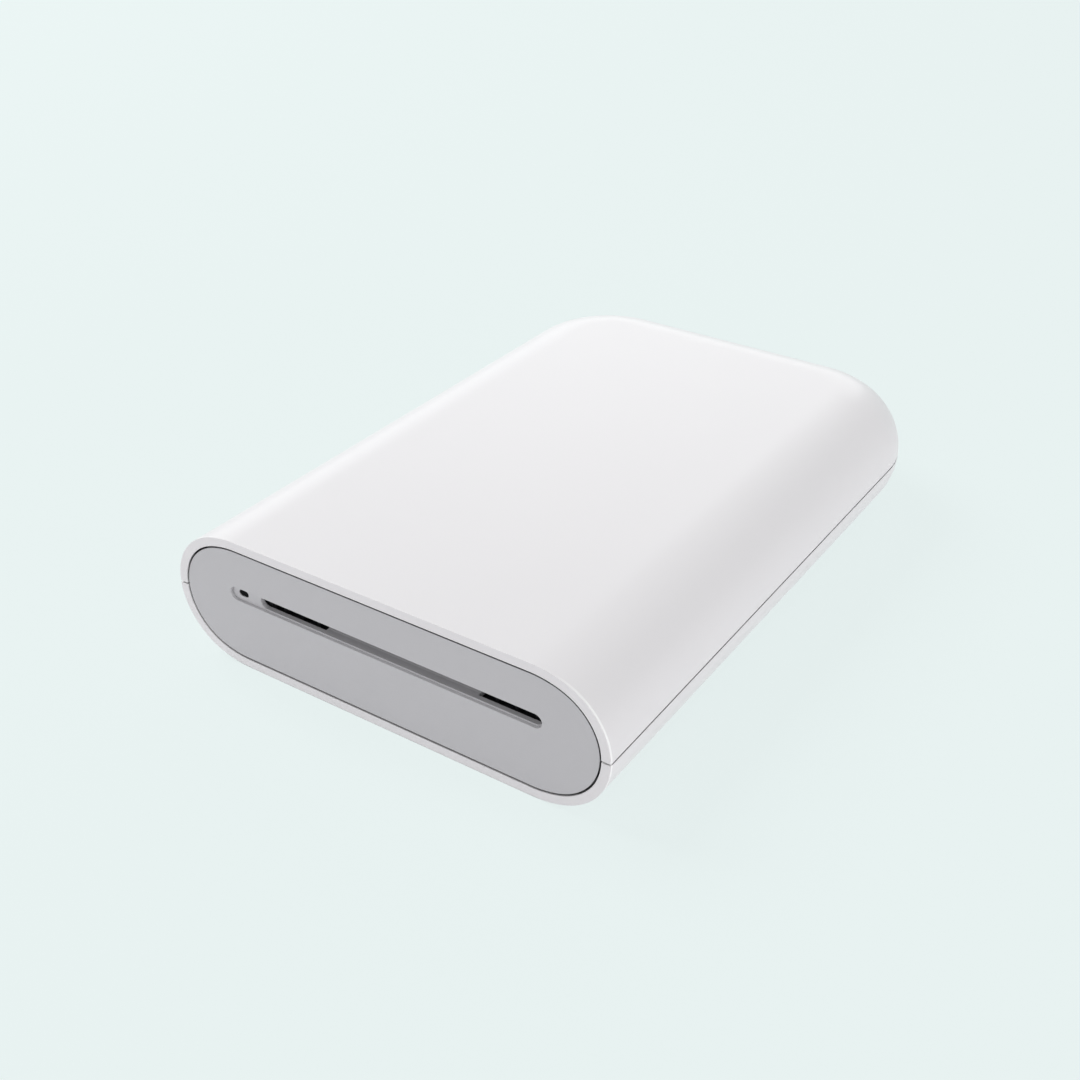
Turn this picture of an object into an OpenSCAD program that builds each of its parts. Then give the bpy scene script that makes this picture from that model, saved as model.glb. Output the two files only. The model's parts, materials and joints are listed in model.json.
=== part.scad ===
// Pocket photo printer: a flat, rounded case with a rear-hinged top cover over the paper tray.
// Origin at the centre of the footprint, +Z up. The paper comes out of the front face, at -Y.

/* [Case] */
// Width over the sides
body_w = 85.3; // [84.8:0.1:86]
// Length from the front rim to the rear
body_l = 124; // [123.6:0.1:125]
// Height over the bottom and the cover
body_h = 24.8; // [24.7:0.1:25]
// Radius of the two rear corners, seen from above
corner_r = 21.1; // [20.9:0.1:21.5]
// How far in from the side the flat top begins
edge_in = 13.9; // [13.8:0.1:14.1]
// Radius of the round flank at the seam
flank_r = 12.1; // [12:0.05:12.2]
// Wall of the two shells
wall = 1.6; // [1.5:0.05:1.6]
// Gap between the top cover and the lower shell
seam_gap = 0.35; // [0.2:0.05:0.35]

/* [Front panel] */
// Gap round the front panel
panel_gap = 0.35; // [0.2:0.05:0.4]
// How far the panel lies behind the front rim
panel_recess = 0.1; // [0.05:0.05:0.3]
// Depth of the channel round the exit slot
channel_deep = 0.5; // [0.4:0.05:0.8]
// Height of the exit slot
slot_h = 2.25; // [2.1:0.05:2.25]

/* [Cover hinge] */
// Distance of the hinge axis in from the rear face
hinge_in = 2.2; // [2.1:0.05:2.3]
// Clearance round the turning barrel
barrel_gap = 0.15; // [0.1:0.01:0.2]
// Radius of the hinge pins
hinge_pin_r = 0.6; // [0.5:0.05:0.7]

/* [Paper] */
// Offset of the paper path from the middle of the case
paper_x = 3.5; // [3.3:0.1:3.7]
// Clear width of the tray and the exit slot
paper_w = 52.8; // [52.4:0.1:53]
// Clear length of the tray
tray_l = 79; // [78:0.5:79]
// Height of the tray floor
tray_z = 15; // [14.9:0.1:15.1]
// Height of the paper as it passes under the print head
path_z = 14.7; // [14.6:0.05:14.8]

/* [Drive] */
// Module of the gears
gear_module = 0.4; // [0.395:0.005:0.41]
// Play between meshed teeth at the pitch circle
backlash = 0.05; // [0.04:0.01:0.07]
// Running clearance of shafts and gears on their radius
running_gap = 0.05; // [0.03:0.01:0.08]

/* [Hidden] */

eps = 0.01;
far = 100;
mid_z = body_h / 2;
front_y = -body_l / 2;
rear_y = body_l / 2;
side_x = body_w / 2;
corner_x = side_x - corner_r;
corner_y = rear_y - corner_r;

// Two tangent arcs make the flank: one of flank_r at the seam, then a wider one up to the flat.
arc_step = edge_in - flank_r;
arc_rise = mid_z - flank_r;
crown_drop = (arc_step * arc_step - arc_rise * arc_rise) / (2 * arc_rise);
crown_r = mid_z + crown_drop;
crown_angle = atan2(crown_drop, arc_step);

// Cover hinge
hinge_y = rear_y - hinge_in;
barrel_grow = 0.45;
cove_grow = barrel_grow + barrel_gap;
trough_grow = cove_grow + 1.2;
knuckle_x = 12;
knuckle_w = 4;
knuckle_gap = 0.2;
pin_reach = 6;

// Front panel, with its slot and the hole of the status light
panel_front = front_y + panel_recess;
panel_back = front_y + 2;
channel_z = 14.6;
channel_h = 2.6;
channel_half = 30.85;
slot_z = channel_z + 0.15;
slot_x = [paper_x - 28.1, paper_x + 27.2];
ramp_x = [paper_x - 15, paper_x + 15];
slot_wall = 0.85;
throat_x = [paper_x - 27, paper_x + 26.9];
led_at = [-28.35, channel_z + 0.2];
led_hole = [2.1, 1.15];
led_fit = 0.1;
peg_x = [-10, 10];

// Paper tray and dark inner frame
tray_x = [paper_x - paper_w / 2, paper_x + paper_w / 2];
tray_front = -27;
tray_back = tray_front + tray_l;
deck_z = 18.8;
deck_t = 1.2;
frame_in = wall + 0.9;
frame_base = 13;
frame_screw_at = [[35.3, -53.2], [-35.3, -53.2], [35.3, 38], [-35.3, 38]];

// Print engine, between two side plates
plate_t = 0.8;
plate_left = [-25.4, -24.6];
plate_right = [31.6, 32.4];
engine_floor = 4.6;
guide_pin = [-55.5, 13.4];
feed_pin = [-38, 14];
engine_screw_at = [[-19, -54.4], [26, -54.4]];
head_pivot = [-39.5, 17];
head_pivot_r = 1;
bridge_z = 20.2;
head_top = 17.9;
strip_gap = 0.06;
head_spring_at = [[paper_x - 15.5, -47], [paper_x + 15.5, -47]];
hook_x = [-19, 19];

// Gear train: [y, z] of each axis, and the layers outside the left side plate
pitch_per_tooth = gear_module / 2;
teeth_roller = 20;
teeth_idler = 16;
teeth_pinion = 12;
teeth_wheel = 30;
roller_r = 4;
platen_at = [-48, path_z - roller_r];
pickup_at = [-22, tray_z + 0.4 - roller_r];
shaft_r = 1.25;
bush_r = 1.9;
span = norm(pickup_at - platen_at);
leg = (teeth_roller + 3 * teeth_idler) * pitch_per_tooth;
arch = sqrt(leg * leg - span * span / 4);
along = (pickup_at - platen_at) / span;
across = [-along[1], along[0]];
middle_at = (platen_at + pickup_at) / 2 + arch * across;
mesh_roller = (teeth_roller + teeth_idler) * pitch_per_tooth;
front_idler_at = platen_at + mesh_roller / leg * (middle_at - platen_at);
rear_idler_at = pickup_at + mesh_roller / leg * (middle_at - pickup_at);
reduction_at = middle_at - [0, (teeth_idler + teeth_pinion) * pitch_per_tooth];
motor_z = 7.2;
motor_mesh = (teeth_wheel + teeth_pinion) * pitch_per_tooth;
motor_side = sqrt(pow(motor_mesh, 2) - pow(reduction_at[1] - motor_z, 2));
motor_at = [reduction_at[0] + motor_side, motor_z];
inner_layer = [-27.6, -25.8];
outer_layer = [-29.8, -28.2];
post_r = 0.8;
collar_r = 1.5;

// Motor
motor_r = 5;
motor_len = 15;
motor_shaft_r = 0.5;
motor_screw_at = [motor_at + [-3.2, -1.8], motor_at + [3, -1.8]];

// Paper lifter in the cover
lifter_hinge = [-4, 21.4];
lifter_x = [paper_x - 17, paper_x + 17];
lifter_pin_r = 0.9;
lifter_nose = [-26.4, -16.5];
lifter_z = 16.3;
lifter_spring_at = [[paper_x - 9, -21], [paper_x + 9, -21]];

// Electronics
board_z = 4.2;
board_t = 1;
board_x = [-26, 30];
board_y = [25, 55.2];
board_corner = 12;
board_screw_at = [[-22, 28.5], [26, 28.5], [-14, 51], [22, 51]];
port_z = 6.5;
button_x = 14;
reset_x = -9;
button_w = 8;
button_h = 3;
cell_x = [-22, 32];
cell_y = [-14, 20];
cell_z = 2.2;
cell_t = 4.4;
cable_z = head_top + 1.15;
cable_y = [-43.4, -35.6];

// ---------- shapes used throughout ----------

module block(x, y, z) {
  translate([x[0], y[0], z[0]]) cube([x[1] - x[0], y[1] - y[0], z[1] - z[0]]);
}

// A [y, z] outline carried along X
module along_x(x) {
  translate([x[0], 0, 0]) rotate([90, 0, 90]) linear_extrude(x[1] - x[0]) children();
}

// A [x, z] outline carried along Y
module along_y(y) {
  translate([0, y[1], 0]) rotate([90, 0, 0]) linear_extrude(y[1] - y[0]) children();
}

module rod_x(at, r, x) {
  along_x(x) translate(at) circle(r = r, $fn = 32);
}

module ring_x(at, outer, inner, x) {
  along_x(x) translate(at) difference() {
    circle(r = outer, $fn = 32);
    circle(r = inner, $fn = 32);
  }
}

module stadium(width, height) {
  square([width - height, height], center = true);
  for (s = [-1, 1]) translate([s * (width - height) / 2, 0]) circle(d = height, $fn = 24);
}

module rounded(x, y, r) {
  translate([x[0] + r, y[0]]) square([x[1] - x[0] - 2 * r, y[1] - y[0]]);
  translate([x[0], y[0] + r]) square([x[1] - x[0], y[1] - y[0] - 2 * r]);
  for (px = [x[0] + r, x[1] - r], py = [y[0] + r, y[1] - r]) translate([px, py]) circle(r = r, $fn = 24);
}

// A pan-head screw standing on [x, y], its head on z
module screw(at, z, head_r, shank_r, length) {
  translate([at[0], at[1], z - length]) cylinder(r = shank_r, h = length, $fn = 16);
  difference() {
    translate([at[0], at[1], z]) cylinder(r = head_r, h = head_r * 0.45, $fn = 24);
    for (turn = [0, 90]) translate([at[0], at[1], z + head_r * 0.45]) rotate(turn)
      cube([head_r * 1.1, head_r * 0.28, head_r * 0.5], center = true);
  }
}

// ---------- the case's form ----------

// Half of the case's outline from its axis out to reach, moved in by inset; the seam is at 0
module half_section(reach, inset) {
  flat = reach - edge_in;
  translate([0, inset - mid_z]) square([flat, body_h - 2 * inset]);
  intersection() {
    translate([reach - flank_r, 0]) circle(r = flank_r - inset, $fn = 64);
    translate([flat, -mid_z]) square([edge_in, body_h]);
  }
  for (s = [-1, 1]) intersection() {
    translate([flat, -s * crown_drop]) circle(r = crown_r - inset, $fn = 96);
    translate([flat, -s * crown_drop])
      polygon([[0, 0], [far * cos(crown_angle), s * far * sin(crown_angle)], [0, s * far]]);
  }
}

module section(inset) {
  half_section(side_x, inset);
  mirror([1, 0]) half_section(side_x, inset);
}

// The whole rounded form, moved in by inset, its front cut at y
module form(inset, front) {
  translate([0, 0, mid_z]) {
    along_y([front, corner_y]) section(inset);
    translate([0, corner_y, 0]) along_x([-corner_x, corner_x]) half_section(corner_r, inset);
    for (s = [0, 1]) mirror([s, 0, 0]) translate([corner_x, corner_y, 0])
      rotate_extrude(angle = 90, $fn = 64) half_section(corner_r, inset);
  }
}

// A wall outline swept round both sides and the rear, with turn degrees of each corner
module sweep_rim(front, turn) {
  for (s = [0, 1]) mirror([s, 0, 0]) translate([0, 0, mid_z]) {
    along_y([front, corner_y]) translate([corner_x, 0]) children();
    translate([corner_x, corner_y, 0]) rotate_extrude(angle = turn, $fn = 64) children();
  }
}

// Half of a shell: upper (s = 1) or lower (s = -1)
module half_shell(s) {
  translate([0, 0, mid_z]) {
    along_y([front_y, corner_y]) intersection() {
      difference() {
        section(0);
        section(wall);
      }
      translate([-far, s > 0 ? seam_gap / 2 : -mid_z]) square([2 * far, mid_z - seam_gap / 2]);
    }
    translate([0, corner_y, 0]) along_x([-corner_x, corner_x]) corner_wall(s);
    for (m = [0, 1]) mirror([m, 0, 0]) translate([corner_x, corner_y, 0])
      rotate_extrude(angle = 90, $fn = 64) corner_wall(s);
  }
}

module corner_wall(s) {
  intersection() {
    difference() {
      half_section(corner_r, 0);
      half_section(corner_r, wall);
    }
    translate([0, s > 0 ? seam_gap / 2 : -mid_z]) square([far, mid_z - seam_gap / 2]);
  }
}

// The hinge barrel: the rear outline, grown, spun round the hinge axis
module spindle(grow) {
  r = corner_r + grow;
  centre = hinge_in - corner_r;
  stop = acos(-centre / r);
  taper = [for (i = [0:4]) let (a = stop * i / 4) [centre + r * cos(a), corner_x + r * sin(a)]];
  mirrored = [for (i = [4:-1:0]) [taper[i][0], -taper[i][1]]];
  translate([0, hinge_y, mid_z]) rotate([0, 90, 0]) rotate_extrude($fn = 32)
    polygon(concat(mirrored, taper));
}

// ---------- gears ----------

// Angle of the flank from the tooth's middle, at radius r
function involute(base, r) = r <= base ? 0 : tan(acos(base / r)) * 180 / PI - acos(base / r);
function flank(teeth, r) =
  let (pitch = teeth * pitch_per_tooth, base = pitch * cos(20))
  90 / teeth - backlash / 4 / pitch * 180 / PI + involute(base, pitch) - involute(base, r);

function gear_outline(teeth) =
  let (
    pitch = teeth * pitch_per_tooth,
    base = pitch * cos(20),
    root = pitch - 1.2 * gear_module,
    tip = pitch + 0.9 * gear_module,
    form = max(base, root + 0.1),
    radii = [root, form, (form + tip) / 2, tip]
  )
  [for (i = [0:teeth - 1]) for (k = [0:7]) let (
    r = radii[k < 4 ? k : 7 - k],
    a = 360 * i / teeth + (k < 4 ? -1 : 1) * flank(teeth, r)
  ) [r * cos(a), r * sin(a)]];

// The turn that puts a gear in mesh with one of other teeth turned by start; toward points from
// the other gear's axis to this one's
function meshed(teeth, other, start, toward) =
  toward + 180 - 180 / teeth - other / teeth * (start - toward);
function heading(from, to) = atan2(to[1] - from[1], to[0] - from[0]);

middle_turn = 0;
front_turn = meshed(teeth_idler, teeth_idler, middle_turn, heading(middle_at, front_idler_at));
rear_turn = meshed(teeth_idler, teeth_idler, middle_turn, heading(middle_at, rear_idler_at));
platen_turn = meshed(teeth_roller, teeth_idler, front_turn, heading(front_idler_at, platen_at));
pickup_turn = meshed(teeth_roller, teeth_idler, rear_turn, heading(rear_idler_at, pickup_at));
small_turn = meshed(teeth_pinion, teeth_idler, middle_turn, heading(middle_at, reduction_at));
pinion_turn = meshed(teeth_pinion, teeth_wheel, 0, heading(reduction_at, motor_at));

module toothed(at, teeth, turn, x) {
  along_x(x) translate(at) rotate(turn) polygon(gear_outline(teeth));
}

module gear(at, teeth, turn, bore, x) {
  difference() {
    toothed(at, teeth, turn, x);
    rod_x(at, bore, [x[0] - 1, x[1] + 1]);
  }
}

// A wheel that turns on a fixed post, with a collar that keeps it off the side plate
module idler(at, turn) {
  color("ivory") difference() {
    union() {
      toothed(at, teeth_idler, turn, inner_layer);
      rod_x(at, collar_r, [inner_layer[0] + 1, plate_left[0] - 0.1]);
    }
    rod_x(at, post_r + running_gap, [inner_layer[0] - 1, plate_left[0] + 1]);
  }
}

// ---------- case ----------

module lower_shell() color("gainsboro") {
  difference() {
    half_shell(-1);
    spindle(cove_grow);
    rear_openings();
  }
  seam_tongue();
  panel_ledge();
  hinge_trough();
  shell_bosses();
  cell_ribs();
}

module rear_openings() {
  y = [rear_y - 8, rear_y + 1];
  along_y(y) translate([0, port_z]) stadium(9, 3.4);
  along_y(y) translate([button_x, port_z]) stadium(button_w + 0.3, button_h + 0.3);
  along_y(y) translate([reset_x, port_z]) circle(r = 0.6, $fn = 16);
}

// A thin lip that stands up inside the cover and closes the seam to light and dust
module seam_tongue() {
  inner = corner_r - wall;
  sweep_rim(panel_back + 0.3, 50) {
    translate([inner - 0.75, -1.6]) square([1.05, 1.6 - seam_gap / 2]);
    translate([inner - 0.75, -1]) square([0.55, 1.9]);
  }
}

// The step that the front panel seats against
module panel_ledge() {
  translate([0, 0, mid_z]) along_y([panel_back + 0.05, panel_back + 1.05]) intersection() {
    difference() {
      section(wall - 0.1);
      section(wall + 1.2);
    }
    translate([-far, -far]) square([2 * far, far - 1.7]);
  }
}

module hinge_trough() {
  low = mid_z - 1.8;
  difference() {
    intersection() {
      spindle(trough_grow);
      form(0.3, front_y);
      block([-30, 30], [hinge_y - 3.6, rear_y], [0, low]);
    }
    spindle(cove_grow);
  }
  for (s = [-1, 1]) knuckle(s * knuckle_x);
}

module knuckle(x) {
  half = knuckle_w / 2;
  at = [hinge_y, mid_z];
  difference() {
    intersection() {
      union() {
        rod_x(at, hinge_in + barrel_grow, [x - half, x + half]);
        block([x - half, x + half], [hinge_y - 1.6, hinge_y + 1.2], [mid_z - 3.4, mid_z - 1.6]);
      }
      form(0, front_y);
    }
    rod_x(at, hinge_pin_r + running_gap, [x - knuckle_w, x + knuckle_w]);
  }
}

// Posts for the inner frame, the engine, the board and the two pegs of the front panel
module shell_bosses() {
  floor_z = wall - 0.2;
  intersection() {
    for (p = frame_screw_at) boss(p, 2.4, 0.8, floor_z, frame_base);
    form(wall / 2, front_y);
  }
  for (p = engine_screw_at) boss(p, 2.6, 0.9, floor_z, engine_floor);
  for (p = board_screw_at) boss(p, 2, 0.7, floor_z, board_z);
  for (x = peg_x) translate([x, panel_back + 2.4, floor_z]) cylinder(r = 1, h = 3, $fn = 24);
}

module boss(at, outer, inner, from, to) {
  difference() {
    translate([at[0], at[1], from]) cylinder(r = outer, h = to - from, $fn = 32);
    translate([at[0], at[1], max(from + 1.4, to - 5)]) cylinder(r = inner, h = to, $fn = 24);
  }
}

// Low rails and corner fences that hold the battery
module cell_ribs() {
  for (x = [cell_x[0] + 8, cell_x[1] - 8])
    block([x - 0.6, x + 0.6], cell_y, [wall - 0.2, cell_z - 0.02]);
  for (y = [cell_y[0] - 1.2, cell_y[1] + 0.2])
    block([cell_x[0] + 6, cell_x[1] - 6], [y, y + 1], [wall - 0.2, 5.5]);
}

module top_cover() color("white") {
  difference() {
    union() {
      half_shell(1);
      intersection() {
        spindle(barrel_grow);
        form(0, front_y);
      }
    }
    for (s = [-1, 1]) rod_x([hinge_y, mid_z], hinge_in + cove_grow, knuckle_slot(s * knuckle_x));
    for (s = [-1, 1]) rod_x([hinge_y, mid_z], hinge_pin_r, pin_span(s));
  }
  cover_ribs();
  for (x = hook_x) snap_hook(x);
  for (s = [0, 1]) lifter_lug(lifter_x[s] + (s == 0 ? -1.2 : 0.2));
  for (p = lifter_spring_at) translate([p[0], p[1], body_h - wall - 0.9])
    cylinder(r = 1.2, h = 1, $fn = 24);
}

function knuckle_slot(x) =
  [x - knuckle_w / 2 - knuckle_gap, x + knuckle_w / 2 + knuckle_gap];
function pin_span(s) = [s * knuckle_x - pin_reach, s * knuckle_x + pin_reach];

module cover_ribs() {
  top = body_h - wall + 0.1;
  for (x = [-24, -8, 15, 31]) block([x - 0.5, x + 0.5], [1, 46], [21.8, top]);
  for (y = [1, 23, 45]) block([-24, 31], [y, y + 1], [21.8, top]);
}

// A catch behind the front panel; its nose sits under the engine cover's front lip
module snap_hook(x) {
  along_x([x - 3, x + 3]) polygon([
    [-59.7, body_h - wall + 0.1], [-59.7, 19.3], [-58.9, 19.3], [-58.2, 19.9], [-58.2, 20],
    [-58.9, 20], [-58.9, body_h - wall + 0.1]
  ]);
}

module lifter_lug(x) {
  along_x([x, x + 1]) difference() {
    union() {
      translate(lifter_hinge) circle(r = 1.7, $fn = 24);
      translate(lifter_hinge - [1.7, 0]) square([3.4, body_h - wall + 0.1 - lifter_hinge[1]]);
    }
    translate(lifter_hinge) circle(r = lifter_pin_r + running_gap, $fn = 24);
  }
}

module hinge_pins() color("silver") {
  for (s = [-1, 1]) rod_x([hinge_y, mid_z], hinge_pin_r, pin_span(s));
}

module front_panel() color("darkgray") {
  through = [panel_front - 1, panel_back + 1];
  difference() {
    translate([0, 0, mid_z]) along_y([panel_front, panel_back]) section(wall + panel_gap);
    along_y([panel_front - 1, panel_front + channel_deep]) translate([0, channel_z])
      stadium(2 * channel_half, channel_h);
    along_y(through) translate([(slot_x[0] + slot_x[1]) / 2, slot_z])
      stadium(slot_x[1] - slot_x[0], slot_h);
    along_y(through) translate(led_at) stadium(led_hole[0], led_hole[1]);
    for (x = [[slot_x[0] - 1, ramp_x[0]], [ramp_x[1], slot_x[1] + 1]])
      block(x, [panel_front + channel_deep + slot_wall, panel_back + 1], [slot_z - 2, slot_z + 2]);
  }
  along_x(ramp_x) slot_ramp();
  for (x = peg_x) difference() {
    block([x - 2.6, x + 2.6], [panel_back - 0.1, panel_back + 4.4], [3.2, 4.4]);
    translate([x, panel_back + 2.4, 3]) cylinder(r = 1.05, h = 2, $fn = 24);
  }
  for (z = [channel_z - 2.3, channel_z + 2.1])
    block([led_at[0] - 2.4, led_at[0] + 2], [panel_back - 0.1, -55.6], [z, z + 0.8]);
}

// The tongue behind the slot that carries the middle of the print as it comes out
module slot_ramp() {
  foot = slot_z - slot_h / 2;
  polygon([
    [panel_back - 0.1, foot], [panel_back + 1.4, foot + 0.4], [-56, foot + 0.6],
    [-56, foot - 0.3], [panel_back - 0.1, foot - 1]
  ]);
}

// A funnel from the platen to the panel; its well takes the tongue, and ribs stand beside it
module exit_guide() color("#2c2d30") {
  x = [plate_left[1] + 0.1, plate_right[0] - 0.1];
  front = panel_back + 0.02;
  back = -52.7;
  well = 12;
  difference() {
    along_x(x) polygon([
      [front, 11.2], [front, 17.5], [back - 0.4, 17.2], [back - 0.4, 15.5], [back, 14.2],
      [back, 12.4], [-55, 11.2]
    ]);
    along_x(throat_x) polygon([
      [front - 1, well], [-56.8, well], [-54.6, 13.9], [back - 0.4, 14.2], [back + 1, 14.2],
      [back + 1, 15.5], [back - 0.4, 15.5], [front, 16], [front - 1, 16]
    ]);
  }
  for (s = [-1, 1]) for (i = [0:2]) let (rib_x = paper_x + s * (17.6 + i * 3.6))
    along_x([rib_x - 0.35, rib_x + 0.35]) polygon([
      [-59.4, well - eps], [-59.4, 13.3], [-57.6, 13.9], [-54.6, 14.1], [-53.6, 14.1],
      [-54.6, 13.8], [-56.7, well - eps]
    ]);
  rod_x(guide_pin, 1, [plate_left[0], x[0] + 0.2]);
  rod_x(guide_pin, 1, [x[1] - 0.2, plate_right[1]]);
}

module light_pipe() color("#2f3134") {
  slim = led_hole - 2 * led_fit * [1, 1];
  along_y([panel_front + channel_deep + 0.1, -57.4]) translate(led_at) stadium(slim[0], slim[1]);
  along_y([-57.4, -57]) translate(led_at) stadium(3.4, 2.4);
}

module status_led() color("white") {
  block([led_at[0] - 0.8, led_at[0] + 0.8], [-56.9, -56.3], [led_at[1] - 0.4, led_at[1] + 0.4]);
}

module led_board() color("darkgreen") {
  block([led_at[0] - 2.5, led_at[0] + 2.1], [-56.3, -55.6], [channel_z - 1.45, channel_z + 2.05]);
}

// ---------- inner frame, tray and engine cover ----------

module inner_frame() color("#2c2d30") {
  well = [tray_x[0] - deck_t, tray_x[1] + deck_t];
  well_y = [tray_front - deck_t, tray_back + deck_t];
  difference() {
    intersection() {
      form(frame_in, -58.4);
      block([-far, far], [-far, far], [frame_base, deck_z]);
    }
    difference() {
      intersection() {
        form(frame_in + deck_t, -60);
        block([-far, far], [-far, far], [0, deck_z - deck_t]);
      }
      block(well, well_y, [tray_z - deck_t, deck_z]);
      for (p = frame_screw_at) translate([p[0], p[1], frame_base]) cylinder(r = 2.4, h = 6, $fn = 32);
    }
    block(tray_x, [tray_front, tray_back], [tray_z, deck_z + 1]);
    block(tray_x, [tray_front - 2, tray_front + 1], [tray_z - 0.5, tray_z + 2]);
    block([-29.9, 32.9], [-57.2, tray_front - deck_t - 0.2], [deck_z - deck_t - 1, deck_z + 1]);
    for (s = [-1, 1]) block([paper_x + s * 8 - 3.6, paper_x + s * 8 + 3.6],
      [pickup_at[0] - 3.8, pickup_at[0] + 3.8], [tray_z - 2, tray_z + 1]);
    block([34.1, 34.9], cable_y, [deck_z - 2, deck_z + 1]);
    spindle(cove_grow + 0.3);
    for (p = frame_screw_at) translate([p[0], p[1], frame_base - 1]) {
      cylinder(r = 1.05, h = 10, $fn = 24);
      translate([0, 0, 5.2]) cylinder(r = 2, h = 5, $fn = 32);
    }
    thumb_relief();
  }
  for (x = [tray_x[0] + 6, paper_x, tray_x[1] - 6])
    block([x - 0.5, x + 0.5], [-14, tray_back - 4], [tray_z - eps, tray_z + 0.3]);
}

// Finger dip at the back of the tray, for lifting the stack
module thumb_relief() {
  translate([paper_x, tray_back + 1, tray_z + 0.02]) cylinder(r = 7, h = 6, $fn = 48);
}

module frame_screws() color("silver") {
  for (p = frame_screw_at) screw(p, frame_base + 4.2, 1.8, 0.75, 8);
}

module engine_cover() color("#1f2022") {
  x = [-30.9, 33.9];
  y = [-58.6, tray_front - 1.4];
  difference() {
    along_y(y) difference() {
      rounded(x, [deck_z - 3, 22.4], 2.5);
      rounded([x[0] + deck_t, x[1] - deck_t], [deck_z - 4, 21.2], 0.6);
      translate([x[0] - 1, 0]) square([x[1] - x[0] + 2, deck_z + 0.02]);
    }
    for (h = hook_x) block([h - 3.4, h + 3.4], [y[0] - 1, y[0] + 1.4], [deck_z - 1, 20.1]);
    block([x[1] - 2, x[1] + 1], cable_y, [deck_z - 1, cable_z + 0.5]);
    for (i = [-5:5]) block([i * 5 + 1, i * 5 + 2], [-53, -36], [22.1, 23]);
  }
  difference() {
    block([x[0] + 2.4, x[1] - 2.4], [y[0] + 0.02, y[0] + deck_t], [deck_z + 0.02, 21.3]);
    for (h = hook_x) block([h - 3.4, h + 3.4], [y[0] - 1, y[0] + 2], [deck_z - 1, 20.1]);
  }
}

// ---------- print engine ----------

module plate_outline() {
  polygon([
    [-57, 4.6], [-57, 16.4], [-53.4, 20.2], [-48, 20.2], [-48, 21], [-46, 21], [-46, 20.2],
    [-37.5, 20.2], [-37.5, 18], [-31.5, 16.6], [-19, 15], [-17.6, 13.6], [-17.6, 9.2],
    [-20.4, 2.6], [-33.4, 2.6], [-35.6, 4.6]
  ]);
}

module side_plate(x, left) {
  along_x(x) difference() {
    plate_outline();
    for (p = [platen_at, pickup_at]) translate(p) circle(r = bush_r, $fn = 32);
    translate(head_pivot) circle(r = head_pivot_r + running_gap, $fn = 32);
    translate(guide_pin) circle(r = 1.05, $fn = 24);
    translate(feed_pin) circle(r = 0.85, $fn = 24);
    if (left) {
      for (p = [front_idler_at, middle_at, rear_idler_at, reduction_at])
        translate(p) circle(r = post_r, $fn = 32);
      translate(motor_at) circle(r = 1.85, $fn = 24);
      for (p = motor_screw_at) translate(p) circle(r = 0.6, $fn = 32);
    } else {
      translate([cable_y[0], cable_z - 0.2]) square([20, 5]);
      translate([-45, 9.6]) rounded([-9.4, -6.4], [-2, 5.6], 1);
      translate(motor_at) circle(r = 3.2, $fn = 24);
    }
  }
}

module engine_frame() color("lightslategray") {
  side_plate(plate_left, true);
  side_plate(plate_right, false);
  difference() {
    block([plate_left[0], plate_right[1]], [-57, -43], [engine_floor, engine_floor + plate_t]);
    for (p = engine_screw_at) translate([p[0], p[1], 0]) cylinder(r = 1.1, h = 10, $fn = 24);
    for (x = [-12, 3.5, 19]) translate([x, -49.5, 4]) linear_extrude(3) stadium(9, 4);
  }
}

module engine_screws() color("silver") {
  for (p = engine_screw_at) screw(p, engine_floor + plate_t, 1.9, 0.85, 2.4);
}

module head_bridge() color("silver") {
  difference() {
    block([plate_left[0] - 0.05, plate_right[1] + 0.05], [-51.5, -42.7], [bridge_z, bridge_z + plate_t]);
    for (x = [plate_left, plate_right])
      block([x[0] - 0.1, x[1] + 0.1], [-48.05, -45.95], [bridge_z - 1, bridge_z + 2]);
    for (p = head_spring_at) translate(p) cylinder(r = 0.9, h = 30, $fn = 24);
    translate([paper_x, head_spring_at[0][1]]) linear_extrude(30) stadium(16, 3);
  }
}

module coil_spring(r, wire, height, turns) {
  steps = turns * 10;
  sides = 5;
  points = [for (i = [0:steps]) for (j = [0:sides - 1]) let (
    a = 36 * i, b = 360 * j / sides, rise = wire + (height - 2 * wire) * i / steps
  ) [(r + wire * cos(b)) * cos(a), (r + wire * cos(b)) * sin(a), rise + wire * sin(b)]];
  skin = [for (i = [0:steps - 1]) for (j = [0:sides - 1]) let (k = (j + 1) % sides)
    [i * sides + j, (i + 1) * sides + j, (i + 1) * sides + k, i * sides + k]];
  ends = [[for (j = [0:sides - 1]) j], [for (j = [sides - 1:-1:0]) steps * sides + j]];
  polyhedron(points, concat(skin, ends), convexity = 8);
}

module head_springs() color("silver") {
  for (p = head_spring_at) translate([p[0], p[1], head_top])
    coil_spring(1.9, 0.25, bridge_z - head_top, 3);
}

module heat_sink() color("gainsboro") {
  x = [tray_x[0] - 0.5, tray_x[1] + 0.5];
  base = path_z + strip_gap + 0.9;
  difference() {
    union() {
      along_x(x) difference() {
        polygon([[-52, base + 0.5], [-51.5, base], [-41.4, base], [-41.4, head_top], [-51.2, head_top],
          [-52, head_top - 0.8]]);
        for (i = [0:3]) translate([-50.6 + i * 2.3, head_top - 0.7]) square([1, 1]);
      }
      for (lug = [[x[0], x[0] + 3], [x[1] - 3, x[1]]]) along_x(lug) {
        translate(head_pivot) circle(r = 1.8, $fn = 32);
        polygon([
          [-41.5, base], [-41.5, head_top], [head_pivot[0] - 1, head_top], [head_pivot[0], base - 0.4]
        ]);
      }
      for (p = head_spring_at) translate([p[0], p[1], base + 0.5])
        cylinder(r = 2.6, h = head_top - base - 0.5, $fn = 32);
    }
    for (lug = [[x[0] - 1, x[0] + 2.5], [x[1] - 2.5, x[1] + 1]]) rod_x(head_pivot, head_pivot_r, lug);
  }
}

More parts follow.
